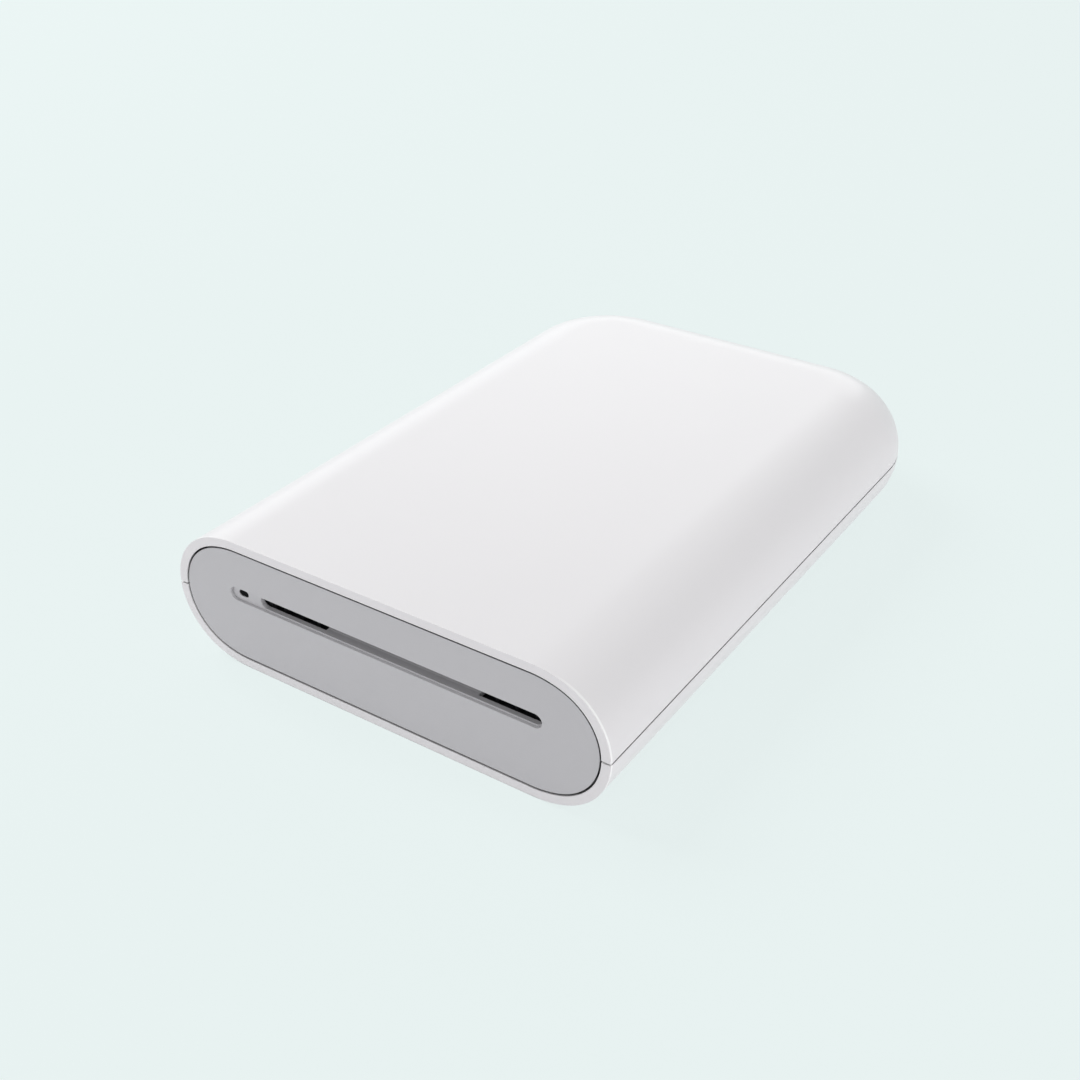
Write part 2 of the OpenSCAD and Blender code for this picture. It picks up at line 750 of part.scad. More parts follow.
module head_strip() color("beige") {
  z = path_z + strip_gap;
  block([tray_x[0] - 0.1, tray_x[1] + 0.1], [-51.4, -42.6], [z, z + 0.9]);
}

module head_pivots() color("silver") {
  rod_x(head_pivot, head_pivot_r, [plate_left[0] - 0.1, tray_x[0] + 2]);
  rod_x(head_pivot, head_pivot_r, [tray_x[1] - 2, plate_right[1] + 0.1]);
}

module head_connector() color("tan") {
  block([10, 26], [-42.6, -40.6], [head_top, head_top + 0.9]);
}

// Flat plastic guide under the paper between the pickup roller and the platen
module feed_guide() color("#3a3b3e") {
  x = [plate_left[1] + 0.1, plate_right[0] - 0.1];
  y = [-43, tray_front - 1.4];
  top = path_z - 0.15;
  difference() {
    union() {
      along_x(x) polygon([[y[0], top - 0.6], [y[0] + 0.8, top], [y[1] - 1, top], [y[1], top - 0.3],
        [y[1], top - 0.9], [y[0], top - 0.9]]);
      for (side = [[x[0], x[0] + 0.9], [x[1] - 0.9, x[1]]])
        block(side, [-40.5, y[1]], [top - 1.9, top - 0.2]);
    }
    block([21.2, 22.8], [-35.3, -33.7], [top - 2, top + 1]);
    for (i = [0:4]) block([-18 + i * 9, -17 + i * 9], [y[0] + 2, y[1] - 2], [top - 0.25, top + 1]);
  }
  rod_x(feed_pin, 0.8, [plate_left[0] + 0.05, x[0] + 0.5]);
  rod_x(feed_pin, 0.8, [x[1] - 0.5, plate_right[1] - 0.05]);
}

module paper_sensor() color("black") {
  block([20, 24], [-36.2, -32.8], [path_z - 2.6, path_z - 1.06]);
}

module platen_shaft() color("silver") {
  rod_x(platen_at, shaft_r, [inner_layer[0], tray_x[0]]);
  rod_x(platen_at, 2.4, tray_x);
  rod_x(platen_at, shaft_r, [tray_x[1], plate_right[1] + 1]);
}

module platen_sleeve() color("#333333") ring_x(platen_at, roller_r, 2.4, [tray_x[0] + 0.3, tray_x[1] - 0.3]);

module platen_gear() color("ivory") gear(platen_at, teeth_roller, platen_turn, shaft_r, inner_layer);

// A flanged bush in each side plate, pushed in from outside
module bush_pair(at) color("peru") {
  bore = shaft_r + running_gap;
  ring_x(at, bush_r, bore, plate_left);
  ring_x(at, bush_r + 0.45, bore, [plate_left[0] - 0.3, plate_left[0]]);
  ring_x(at, bush_r, bore, plate_right);
  ring_x(at, bush_r + 0.45, bore, [plate_right[1], plate_right[1] + 0.3]);
}

module platen_bushes() bush_pair(platen_at);
module pickup_bushes() bush_pair(pickup_at);

// A spring clip: a ring with its opening upwards, pushed on the shaft's end
module shaft_clip(at) color("silver") {
  along_x([plate_right[1] + 0.4, plate_right[1] + 0.8]) translate(at) difference() {
    circle(r = 2.3, $fn = 32);
    circle(r = shaft_r, $fn = 32);
    translate([-0.9, 0]) square([1.8, 4]);
  }
}

module platen_clip() shaft_clip(platen_at);
module pickup_clip() shaft_clip(pickup_at);

module pickup_shaft() color("gainsboro") {
  rod_x(pickup_at, shaft_r, [inner_layer[0], plate_right[1] + 1.2]);
  for (s = [-1, 1]) rod_x(pickup_at, 2.8, [paper_x + s * 8 - 3.2, paper_x + s * 8 + 3.2]);
}

module pickup_tyres() color("#3c3c3c") {
  for (s = [-1, 1]) ring_x(pickup_at, roller_r, 2.8, [paper_x + s * 8 - 3, paper_x + s * 8 + 3]);
}

module pickup_gear() color("ivory") gear(pickup_at, teeth_roller, pickup_turn, shaft_r, inner_layer);

// ---------- gear train and motor ----------

module gear_post(at, outer_x) {
  rod_x(at, post_r, [outer_x - 0.4, plate_left[1]]);
  rod_x(at, collar_r, [outer_x - 0.4, outer_x - 0.1]);
}

module gear_posts() color("silver") {
  for (p = [front_idler_at, middle_at, rear_idler_at]) gear_post(p, inner_layer[0]);
  gear_post(reduction_at, outer_layer[0]);
}

module front_idler() idler(front_idler_at, front_turn);
module middle_idler() idler(middle_at, middle_turn);
module rear_idler() idler(rear_idler_at, rear_turn);

// A large wheel and a small pinion in one moulding
module reduction_gear() color("ivory") difference() {
  union() {
    toothed(reduction_at, teeth_pinion, small_turn, [outer_layer[1] - 0.2, inner_layer[1]]);
    toothed(reduction_at, teeth_wheel, 0, outer_layer);
    rod_x(reduction_at, collar_r, [inner_layer[0], plate_left[0] - 0.1]);
  }
  rod_x(reduction_at, post_r + running_gap, [outer_layer[0] - 1, plate_left[0] + 1]);
}

module motor_can() color("silver") {
  x = [plate_left[1], plate_left[1] + motor_len];
  difference() {
    union() {
      rod_x(motor_at, motor_r, [x[0], x[1] - 1.2]);
      rod_x(motor_at, motor_r - 0.6, [x[1] - 1.2, x[1]]);
      rod_x(motor_at, 1.8, [plate_left[0] + 0.1, x[0]]);
      translate([x[0] + 8, motor_at[0] - 2.5, motor_at[1] + 4]) cube([5, 5, 1.6]);
    }
    rod_x(motor_at, motor_shaft_r + running_gap, [plate_left[0] - 1, x[0] + 6]);
    for (p = motor_screw_at) rod_x(p, 0.6, [x[0] - 1, x[0] + 2]);
  }
}

module motor_shaft() color("silver")
  rod_x(motor_at, motor_shaft_r, [outer_layer[0] - 0.2, plate_left[1] + 5.5]);

module motor_pinion() color("gold") gear(motor_at, teeth_pinion, pinion_turn, motor_shaft_r, outer_layer);

module motor_screws() color("silver") {
  for (p = motor_screw_at) {
    rod_x(p, 0.6, [plate_left[0], plate_left[1] + 1.8]);
    rod_x(p, 1.1, [plate_left[0] - 0.5, plate_left[0]]);
  }
}

// ---------- paper lifter ----------

module paper_lifter() color("#46474a") {
  difference() {
    union() {
      for (arm = [[lifter_x[0], lifter_x[0] + 4], [lifter_x[1] - 4, lifter_x[1]]]) along_x(arm) {
        polygon([
          [lifter_nose[0], lifter_z], [lifter_nose[1], lifter_z], lifter_hinge + [0.4, -1.5],
          lifter_hinge + [-0.6, 1.1], [lifter_nose[1] - 0.6, lifter_z + 1], [lifter_nose[0], lifter_z + 1]
        ]);
        translate(lifter_hinge) circle(r = 1.5, $fn = 24);
      }
      along_x(lifter_x) polygon([[lifter_nose[0], lifter_z + 0.5], [lifter_nose[0] + 0.5, lifter_z],
        [lifter_nose[1], lifter_z], [lifter_nose[1], lifter_z + 1], [lifter_nose[0], lifter_z + 1]]);
    }
    translate([paper_x, (lifter_nose[0] + lifter_nose[1]) / 2, 10]) linear_extrude(20) stadium(7, 4);
  }
  rod_x(lifter_hinge, lifter_pin_r, [lifter_x[0] - 1.3, lifter_x[0] + 1]);
  rod_x(lifter_hinge, lifter_pin_r, [lifter_x[1] - 1, lifter_x[1] + 1.3]);
}

module lifter_pad() color("saddlebrown") {
  block([paper_x - 12, paper_x + 12], [-25, -19], [lifter_z - 0.6, lifter_z]);
}

module lifter_springs() color("silver") {
  for (p = lifter_spring_at) translate([p[0], p[1], lifter_z + 1])
    coil_spring(1.8, 0.25, body_h - wall - lifter_z - 1, 5);
}

// ---------- electronics ----------

module board_outline() {
  rounded(board_x, [board_y[0], board_y[1] - board_corner], 1);
  translate([board_x[0] + board_corner, board_y[0]])
    square([board_x[1] - board_x[0] - 2 * board_corner, board_y[1] - board_y[0]]);
  for (x = [board_x[0] + board_corner, board_x[1] - board_corner])
    translate([x, board_y[1] - board_corner]) circle(r = board_corner, $fn = 64);
}

module main_board() color("darkgreen") {
  translate([0, 0, board_z]) linear_extrude(board_t) difference() {
    board_outline();
    for (p = board_screw_at) translate(p) circle(r = 1, $fn = 24);
  }
}

module board_chips() color("#202124") {
  top = board_z + board_t;
  block([-6, 3], [34, 43], [top, top + 1]);
  block([7, 14], [34, 42], [top, top + 0.9]);
  block([-20, -10], [36, 46], [top, top + 1.8]);
  block([17, 23], [37, 42], [top, top + 1.2]);
  block([-8, -2], [46, 48.6], [top, top + 1]);
  for (i = [0:5]) block([5 + i * 2.4, 6.2 + i * 2.4], [30, 31], [top, top + 0.6]);
  for (x = [-4, 4]) translate([x + 10, 46.5, top]) cylinder(r = 1.6, h = 3.4, $fn = 24);
}

module board_screws() color("silver") {
  for (p = board_screw_at) screw(p, board_z + board_t, 1.5, 0.65, 2.2);
}

module usb_socket() color("silver") {
  top = board_z + board_t;
  y = [53, 58.3];
  difference() {
    block([-3.75, 3.75], y, [top, top + 2.6]);
    block([-3.4, 3.4], [y[0] + 1.4, y[1] + 1], [top + 0.35, top + 2.25]);
  }
  block([-2, 2], [y[0] + 1.3, y[1] - 0.8], [top + 1.3, top + 1.9]);
}

module power_switch() color("#303030") {
  top = board_z + board_t;
  difference() {
    block([button_x - 3, button_x + 3], [50.2, 54], [top, top + 2.8]);
    block([button_x - 0.95, button_x + 0.95], [52.4, 55], [port_z - 0.75, port_z + 0.75]);
  }
}

module switch_plunger() color("white") {
  block([button_x - 0.9, button_x + 0.9], [53.2, 54.6], [port_z - 0.7, port_z + 0.7]);
}

// The visible cap follows the case's surface and stands a little proud of it
module power_button() color("whitesmoke") {
  block([button_x - 1.5, button_x + 1.5], [54.6, 57], [port_z - 0.9, port_z + 0.9]);
  block([button_x - 5.2, button_x + 5.2], [56.2, 57.2], [port_z - 1.2, port_z + 1.2]);
  intersection() {
    along_y([57, rear_y + 1]) translate([button_x, port_z]) stadium(button_w, button_h);
    form(-0.3, front_y);
  }
}

module reset_switch() color("#303030") {
  top = board_z + board_t;
  block([reset_x - 2, reset_x + 2], [51.4, 54], [top, top + 2.6]);
  block([reset_x - 0.6, reset_x + 0.6], [54, 54.6], [port_z - 0.6, port_z + 0.6]);
}

module battery_cells() color("lightsteelblue") {
  for (i = [0, 1]) let (z = cell_z + i * (cell_t + 0.1)) {
    translate([0, 0, z]) linear_extrude(cell_t) rounded(cell_x, cell_y, 1.5);
    block([cell_x[0] + 4, cell_x[0] + 16], [cell_y[1] - 0.1, cell_y[1] + 0.15], [z + 1, z + 3]);
  }
}

module battery_plug() color("white") {
  top = board_z + board_t;
  block([-20.5, -14.5], [26.2, 31], [top, top + 3.2]);
}

module battery_lead() color("firebrick") {
  for (x = [-19, -16]) along_y([cell_y[1] + 0.15, 26.2]) translate([x, 7.9]) circle(r = 0.55, $fn = 16);
}

// Flat cable: over the head, down the side bay and back to the board
module flex_cable() color("orange") {
  t = 0.2;
  x = 34.4;
  y = [-43, -36];
  translate([0, 0, cable_z]) linear_extrude(t)
    polygon([[10, y[0]], [x + t, y[0]], [x + t, y[1]], [20, y[1]], [10, -40]]);
  along_x([x, x + t]) polygon([[y[0], cable_z + t], [y[1], cable_z + t], [y[1], 13], [31, 13], [31, 7],
    [-37, 7], [y[0], 12]]);
  block([27, x + t], [30.8, 31], [7, 10.6]);
  block([23, 27], [30, 31.8], [board_z + board_t, 10.8]);
}

lower_shell();
top_cover();
hinge_pins();
front_panel();
exit_guide();
light_pipe();
status_led();
led_board();
inner_frame();
frame_screws();
engine_cover();
engine_frame();
engine_screws();
head_bridge();
head_springs();
heat_sink();
head_strip();
head_pivots();
head_connector();
feed_guide();
paper_sensor();
platen_shaft();
platen_sleeve();
platen_gear();
platen_bushes();
platen_clip();
pickup_shaft();
pickup_tyres();
pickup_gear();
pickup_bushes();
pickup_clip();
gear_posts();
reduction_gear();
front_idler();
middle_idler();
rear_idler();
motor_can();
motor_shaft();
motor_pinion();
motor_screws();
paper_lifter();
lifter_pad();
lifter_springs();
main_board();
board_chips();
board_screws();
usb_socket();
power_switch();
switch_plunger();
power_button();
reset_switch();
battery_cells();
battery_lead();
battery_plug();
flex_cable();
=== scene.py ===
# %% [markdown]
# # Dressing a pocket photo printer
# The printer was drawn as solids in a CAD program: two moulded shells, a grey front panel, a black
# tray frame and a small print engine with its gears. This lesson loads those solids as a fixed
# frame and gives them what the eye needs: soft edges that catch the light, real finishes, a
# camera and a plain studio. Whatever moves keeps riding on the body that carries it.

# %% Load the frame
import json
import math

import bmesh
import bpy
import numpy as np
from mathutils import Matrix, Vector


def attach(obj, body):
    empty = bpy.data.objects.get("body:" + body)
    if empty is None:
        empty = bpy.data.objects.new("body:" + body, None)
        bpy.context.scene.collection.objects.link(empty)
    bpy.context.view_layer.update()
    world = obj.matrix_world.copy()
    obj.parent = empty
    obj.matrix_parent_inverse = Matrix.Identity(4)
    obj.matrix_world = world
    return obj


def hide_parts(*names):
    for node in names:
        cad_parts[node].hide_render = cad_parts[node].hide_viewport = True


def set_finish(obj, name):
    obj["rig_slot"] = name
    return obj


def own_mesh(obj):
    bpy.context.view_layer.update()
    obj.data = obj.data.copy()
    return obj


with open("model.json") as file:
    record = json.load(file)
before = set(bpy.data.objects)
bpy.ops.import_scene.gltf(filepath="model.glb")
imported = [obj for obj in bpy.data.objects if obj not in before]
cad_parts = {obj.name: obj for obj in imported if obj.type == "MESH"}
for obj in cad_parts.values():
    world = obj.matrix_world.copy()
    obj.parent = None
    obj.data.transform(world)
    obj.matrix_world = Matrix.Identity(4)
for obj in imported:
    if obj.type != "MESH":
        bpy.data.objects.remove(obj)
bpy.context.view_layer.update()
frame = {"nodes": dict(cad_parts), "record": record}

MM = 0.001

# %% [markdown]
# ## Measures
# Every number here repeats one of the CAD source, in millimetres. The case is a slab with a round
# flank: a circle of 12.1 mm at the seam runs into a wider one that ends on the flat top. Seen
# from above, the two rear corners are arcs about a spine, so each wall point is a foot on the
# spine plus a distance outwards.

# %% Case measures
CASE_W, CASE_L, CASE_H = 85.3, 124.0, 24.8
CORNER_R, EDGE_IN, FLANK_R, WALL = 21.1, 13.9, 12.1, 1.6
SEAM_GAP, PANEL_GAP = 0.35, 0.35
MID = CASE_H / 2
FRONT, REAR = -CASE_L / 2, CASE_L / 2
CORNER_X, CORNER_Y = CASE_W / 2 - CORNER_R, REAR - CORNER_R
RISE = MID - FLANK_R
CROWN_DROP = ((EDGE_IN - FLANK_R) ** 2 - RISE**2) / (2 * RISE)
CROWN_R = MID + CROWN_DROP
CROWN_ANGLE = math.atan2(CROWN_DROP, EDGE_IN - FLANK_R)
HINGE_IN = 2.2
HINGE_Y = REAR - HINGE_IN
BARREL_GROW, COVE_GROW, TROUGH_GROW, BARREL_SHAVED, TROUGH_INSET = 0.45, 0.6, 1.8, 0.03, 0.3
KNUCKLE_X, KNUCKLE_HALF, KNUCKLE_GAP = 12.0, 2.0, 0.2
PORT_Z, KEY_X, RESET_X = 6.5, 14.0, -9.0
print("the wide arc is", round(CROWN_R, 2), "mm")
print("and takes over at", round(math.degrees(CROWN_ANGLE), 1), "degrees of surface angle")

# %% [markdown]
# ## From arrays to a closed solid
# A surface is a grid of points. Its faces are the same pattern for every grid, so one function
# numbers them. Skins that share their borders are then merged into one closed solid. Turning the
# faces outwards comes last, when the solid has no gaps left to confuse inside and outside. Most
# solids are a row of rings: a grid whose last column joins its first.

# %% Grids and solids
SAME_POINT = 2e-7


def grid_faces(rows, columns, wrap=False):
    """Quads of a grid numbered row by row: corners (i, j), (i, j+1), (i+1, j+1), (i+1, j). A
    wrapped grid joins its last column to its first."""
    i, j = np.meshgrid(
        np.arange(rows - 1), np.arange(columns if wrap else columns - 1), indexing="ij"
    )
    k = (j + 1) % columns
    corners = [i * columns + j, i * columns + k, (i + 1) * columns + k, (i + 1) * columns + j]
    return np.stack(corners, -1).reshape(-1, 4)


def skin(points):
    """A rows x columns x 3 array as (points, faces)."""
    rows, columns = points.shape[:2]
    return points.reshape(-1, 3), grid_faces(rows, columns)


def closed(skins):
    """One watertight mesh in metres from skins in millimetres: equal points are merged, which
    also shuts the poles, and the faces are turned outwards."""
    starts = np.cumsum([0] + [len(points) for points, _ in skins[:-1]])
    faces = [face for (_, quads), start in zip(skins, starts) for face in (quads + start).tolist()]
    mesh = bpy.data.meshes.new("solid")
    mesh.from_pydata((np.concatenate([points for points, _ in skins]) * MM).tolist(), [], faces)
    work = bmesh.new()
    work.from_mesh(mesh)
    bmesh.ops.remove_doubles(work, verts=work.verts, dist=SAME_POINT)
    bmesh.ops.recalc_face_normals(work, faces=work.faces)
    open_edges = sum(len(edge.link_faces) != 2 for edge in work.edges)
    if open_edges:
        print("open edges left:", open_edges)
    work.to_mesh(mesh)
    work.free()
    return mesh


def tube(rings, capped=False):
    """A closed mesh from rings x corners x 3. Its ends are capped with a flat face each, or they
    are rings that have no size."""
    count, corners = rings.shape[:2]
    points = rings.reshape(-1, 3)
    skins = [(points, grid_faces(count, corners, wrap=True))]
    if capped:
        corner = np.arange(corners)
        skins.append((points, np.stack([corner, corner + (count - 1) * corners])))
    return closed(skins)


def place(across, up, along, axis):
    """Coordinates in the plane across an axis, and along it, as x, y, z."""
    order = {"x": (along, across, up), "y": (across, along, up), "z": (across, up, along)}[axis]
    return np.stack(np.broadcast_arrays(*order), -1)


def prism(outline, span, axis):
    """A flat outline carried from span[0] to span[1] along an axis, with both ends shut."""
    across, up = np.array(outline, float).T[:, None]
    return tube(place(across, up, np.array(span, float)[:, None], axis), capped=True)


def block(x, y, z):
    """A box between two corners."""
    return prism([(x[0], y[0]), (x[1], y[0]), (x[1], y[1]), (x[0], y[1])], z, "z")


def turned(profile, at, axis, steps=32):
    """A profile of (along, radius) spun about an axis: the point at angle a is at + radius times
    (cos a, sin a). It starts and ends at radius 0, so it is closed."""
    along, radius = np.array(profile, float).T[:, :, None]
    angle = np.linspace(0, 2 * math.pi, steps, endpoint=False)[None, :]
    return tube(place(at[0] + radius * np.cos(angle), at[1] + radius * np.sin(angle), along, axis))


def rod(at, radius, span, axis, steps=32):
    """A plain cylinder as a turned solid."""
    lo, hi = span
    return turned([(lo, 0), (lo, radius), (hi, radius), (hi, 0)], at, axis, steps)


def stadium(centre, width, height, steps=12):
    """Outline of a slot with round ends: two half circles, width - height apart."""
    turn = np.linspace(-math.pi / 2, math.pi / 2, steps + 1)
    half = (width - height) / 2
    right = np.stack([half + height / 2 * np.cos(turn), height / 2 * np.sin(turn)], -1)
    return np.concatenate([right, -right]) + centre


print("a block has", len(block((0, 1), (0, 1), (0, 1)).polygons), "faces")

# %% [markdown]
# ## From solids to a piece
# A moulded part never has a knife edge. Each sharp edge gets a weight and the Bevel modifier
# rounds it by weight times its width, so the rim that faces the buyer can be rounder than the
# rest. Area-weighted normals then keep the broad faces flat to the eye.

# %% Pieces
BEVEL_STEPS = 3


def joined(name, solids):
    """Several closed meshes as one object that sits at the origin."""
    work = bmesh.new()
    for solid in solids:
        work.from_mesh(solid)
    mesh = bpy.data.meshes.new(name)
    work.to_mesh(mesh)
    work.free()
    piece = bpy.data.objects.new(name, mesh)
    bpy.context.scene.collection.objects.link(piece)
    return piece


def extend(piece, solids):
    """Adds more closed meshes to a piece."""
    whole = joined(piece.name + "_whole", [piece.data, *solids])
    piece.data = whole.data
    bpy.data.objects.remove(whole)


def cut(piece, cutters):
    """Takes closed meshes away from a piece with exact booleans, and keeps the result."""
    tool = joined("cutter", cutters)
    boolean = piece.modifiers.new("cut", "BOOLEAN")
    boolean.operation, boolean.solver, boolean.object = "DIFFERENCE", "EXACT", tool
    bpy.context.view_layer.update()
    state = bpy.context.evaluated_depsgraph_get()
    result = bpy.data.meshes.new_from_object(piece.evaluated_get(state))
    piece.modifiers.clear()
    piece.data = result
    bpy.data.objects.remove(tool)


def soften(piece, width, sharp_from=38, weigh=None):
    """Rounds the sharp edges. weigh gets the edges' end points in millimetres, as an edges x 2 x 3
    array, and gives each edge a share of the width."""
    mesh = piece.data
    mesh.set_sharp_from_angle(angle=math.radians(sharp_from))
    count = len(mesh.edges)
    ends, sharp = np.zeros(count * 2, int), np.zeros(count, bool)
    mesh.edges.foreach_get("vertices", ends)
    mesh.edges.foreach_get("use_edge_sharp", sharp)
    points = np.zeros(len(mesh.vertices) * 3)
    mesh.vertices.foreach_get("co", points)
    spans = points.reshape(-1, 3)[ends.reshape(-1, 2)] / MM
    weights = sharp * (np.ones(count) if weigh is None else weigh(spans))
    layer = mesh.attributes.new("bevel_weight_edge", "FLOAT", "EDGE")
    layer.data.foreach_set("value", weights.astype(np.float32))
    mesh.edges.foreach_set("use_edge_sharp", np.zeros(count, bool))
    mesh.polygons.foreach_set("use_smooth", np.ones(len(mesh.polygons), bool))
    bevel = piece.modifiers.new("soft_edges", "BEVEL")
    bevel.width, bevel.segments, bevel.limit_method = width * MM, BEVEL_STEPS, "WEIGHT"
    bevel.use_clamp_overlap, bevel.miter_outer = True, "MITER_ARC"
    normals = piece.modifiers.new("even_normals", "WEIGHTED_NORMAL")
    normals.mode, normals.keep_sharp = "FACE_AREA", False


def fit(piece, body, nodes=(), slot=None):
    """Hangs a piece on its body, hides the CAD nodes it stands for and names its slot."""
    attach(piece, body)
    if nodes:
        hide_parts(*nodes)
    if slot:
        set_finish(piece, slot)
    corners = np.array([list(c) for c in piece.bound_box]) / MM
    print(piece.name, "on", body, "|", corners.min(0).round(1), corners.max(0).round(1), "mm")


print("edges are rounded in", BEVEL_STEPS, "steps")

# %% [markdown]
# ## The case as a formula
# One section serves the whole case. `section_point` gives it from the surface angle, and the rail
# says where the section stands: along the left side, round the rear and back along the right.
# The lower shell's rear edge dips where the hinge barrel turns in it; that height has no simple
# formula, so it is found by halving an interval for all stations at once. The stations stand
# closer together where the edge starts to dip.

# %% Section and rail
SIDE_Y = np.array([FRONT, FRONT + 0.9, FRONT + 8, -30, 0, 25, CORNER_Y])
REAR_X = np.linspace(-CORNER_X, CORNER_X, 9)
CORNER_TURN = np.linspace(0, math.pi / 2, 25)
DIP_TURN = np.radians(np.linspace(57, 69, 13))
INSETS = np.linspace(0, WALL, 5)


def section_point(angle, inset):
    """At surface angle a: distance from the spine and height above the seam, moved in by inset.
    Below CROWN_ANGLE it is (R-F) + (F-inset) cos a and (F-inset) sin a, with R the corner and F
    the flank radius; above it the same with the crown radius about its own, lower centre."""
    crown = angle > CROWN_ANGLE
    radius = np.where(crown, CROWN_R, FLANK_R) - inset
    out = np.where(crown, CORNER_R - EDGE_IN, CORNER_R - FLANK_R) + radius * np.cos(angle)
    return out, radius * np.sin(angle) - np.where(crown, CROWN_DROP, 0)


def left_rail(y, turn):
    """Feet on the spine and outward directions, along the left side at each y and then round the
    rear corner at each turn."""
    side = np.stack([0 * y - CORNER_X, y, 0 * y - 1, 0 * y], -1)
    bend = np.stack([0 * turn - CORNER_X, 0 * turn + CORNER_Y, -np.cos(turn), np.sin(turn)], -1)
    return np.concatenate([side, bend])


def make_rail():
    """The whole rail, from the front left round to the front right."""
    left = left_rail(SIDE_Y, np.unique(np.concatenate([CORNER_TURN, DIP_TURN]))[1:-1])
    rear = np.stack([REAR_X, 0 * REAR_X + CORNER_Y, 0 * REAR_X, 0 * REAR_X + 1], -1)
    return np.concatenate([left, rear, left[::-1] * [-1, 1, -1, 1]])


def on_rail(rail, out, height):
    """Points at a distance out from the rail's feet, at a height."""
    x, y = rail[..., 0] + rail[..., 2] * out, rail[..., 1] + rail[..., 3] * out
    return np.stack(np.broadcast_arrays(x, y, height), -1)


def halved(inside, low, high, rounds):
    """The last value between low and high for which inside holds, for whole arrays at once: each
    round keeps the half in which it stops to hold."""
    for _ in range(rounds):
        middle = (low + high) / 2
        holds = inside(middle)
        low, high = np.where(holds, middle, low), np.where(holds, high, middle)
    return low


def beyond_corner(x):
    """How far x lies past the centre of a rear corner."""
    return np.maximum(np.abs(x) - CORNER_X, 0)


def spindle_radius(x, grow):
    """Radius of the hinge barrel at x. It is the rear outline, grown, spun about the hinge axis:
    sqrt((R + grow)^2 - beyond^2) - (R - HINGE_IN), and 0 past that outline's end."""
    rear = np.sqrt(np.maximum((CORNER_R + grow) ** 2 - beyond_corner(x) ** 2, 0))
    return np.maximum(rear - CORNER_R + HINGE_IN, 0)


def seam_angles(cove):
    """Surface angle at which the wall ends, for each station and inset. Without a cove it is the
    seam; with one it is where the wall comes out of the barrel's cove."""
    seam = np.arcsin(SEAM_GAP / 2 / (FLANK_R - INSETS))
    start = np.broadcast_to(seam, (len(RAIL), len(INSETS)))
    if not cove:
        return start

    def in_cove(angle):
        """Whether the wall is still inside the cove at a surface angle."""
        out, down = section_point(angle, INSETS)
        x, y = np.moveaxis(on_rail(RAIL[:, None], out, down), -1, 0)[:2]
        return (y - HINGE_Y) ** 2 + down**2 < spindle_radius(x, COVE_GROW) ** 2

    return halved(in_cove, start, np.full(start.shape, math.radians(40)), 40)


RAIL = make_rail()
print("rail of", len(RAIL), "stations")

# %% [markdown]
# ## A half shell
# A half shell is two skins of the section, the edge along the seam and the rim at the front. The
# flat middle between the spines takes the same stations, so that everything closes. Points lie
# closer together on the flank than on the wide crown.

# %% A half shell
CROWN_SHARE, FLANK_STEPS, CROWN_STEPS, SPINE_TO_FLAT = 0.79, 15, 10, 0.8
CASE_SOFT, INNER_RIM_SOFT, OTHER_SOFT = 0.42, 0.5, 0.15
SHARES = np.concatenate(
    [np.linspace(0, CROWN_SHARE, FLANK_STEPS), np.linspace(CROWN_SHARE, 1, CROWN_STEPS)[1:]]
)


def shell(sign, cove):
    """The upper (sign 1) or lower (sign -1) half shell, wall and all: outer and inner skin, the
    edge along the seam and the rim at the front, and the flat middle between the two spines."""
    ends = seam_angles(cove)

    def wall(station, layer):
        """Points of a station at one inset, from the seam edge to the spine."""
        end = ends[station, layer][..., None]
        angle = end + SHARES * (math.pi / 2 - end)
        inset = INSETS[layer][..., None]
        out, up = section_point(angle, inset)
        flat = np.broadcast_to([CORNER_R - EDGE_IN - SPINE_TO_FLAT, 0], out.shape[:-1] + (2,))
        top = np.broadcast_to(MID - inset, flat.shape)
        out, up = np.concatenate([out, flat], -1), np.concatenate([up, top], -1)
        return on_rail(RAIL[station][..., None, :], out, MID + sign * up)

    stations, layers = np.arange(len(RAIL)), np.arange(len(INSETS))
    skins = [skin(wall(stations, np.full(len(RAIL), layer))) for layer in (0, len(INSETS) - 1)]
    skins.append(skin(wall(stations[:, None], layers[None, :])[:, :, 0]))
    for station in (0, len(RAIL) - 1):
        skins.append(skin(wall(np.full(len(INSETS), station), layers)))
    x, y, inset = REAR_X, SIDE_Y, INSETS
    for depth in (0, WALL):
        skins.append(skin(place(x[None, :], y[:, None], MID + sign * (MID - depth), "z")))
    skins.append(skin(place(x[None, :], FRONT, MID + sign * (MID - inset[:, None]), "z")))
    return closed(skins)


def inset_of(x, z):
    """How far inside the case's section a point is: the radius of its arc less its distance from
    that arc's centre, or its depth below the flat."""
    out, up = np.abs(x) - CORNER_X, np.abs(z - MID)
    flat = out < CORNER_R - EDGE_IN
    crown = np.arctan2(up + CROWN_DROP, out - CORNER_R + EDGE_IN) > CROWN_ANGLE
    on_crown = CROWN_R - np.hypot(out - CORNER_R + EDGE_IN, up + CROWN_DROP)
    on_flank = FLANK_R - np.hypot(out - CORNER_R + FLANK_R, up)
    return np.where(flat, MID - up, np.where(crown, on_crown, on_flank))


def rim_weights(spans):
    """The outer edge of the front rim gets the full width, its inner edge a half and every other
    edge about a seventh of it."""
    at_front = (np.abs(spans[:, :, 1] - FRONT) < 1e-3).all(1)
    inset = inset_of(spans[:, :, 0], spans[:, :, 2])
    outer, inner = (np.abs(inset) < 0.02).all(1), (np.abs(inset - WALL) < 0.02).all(1)
    inner_or_other = np.where(at_front & inner, INNER_RIM_SOFT, OTHER_SOFT)
    return np.where(at_front & outer, 1.0, inner_or_other)


lower_half, upper_half = shell(-1, True), shell(1, False)
print("lower and upper shell have", len(lower_half.polygons), len(upper_half.polygons), "faces")

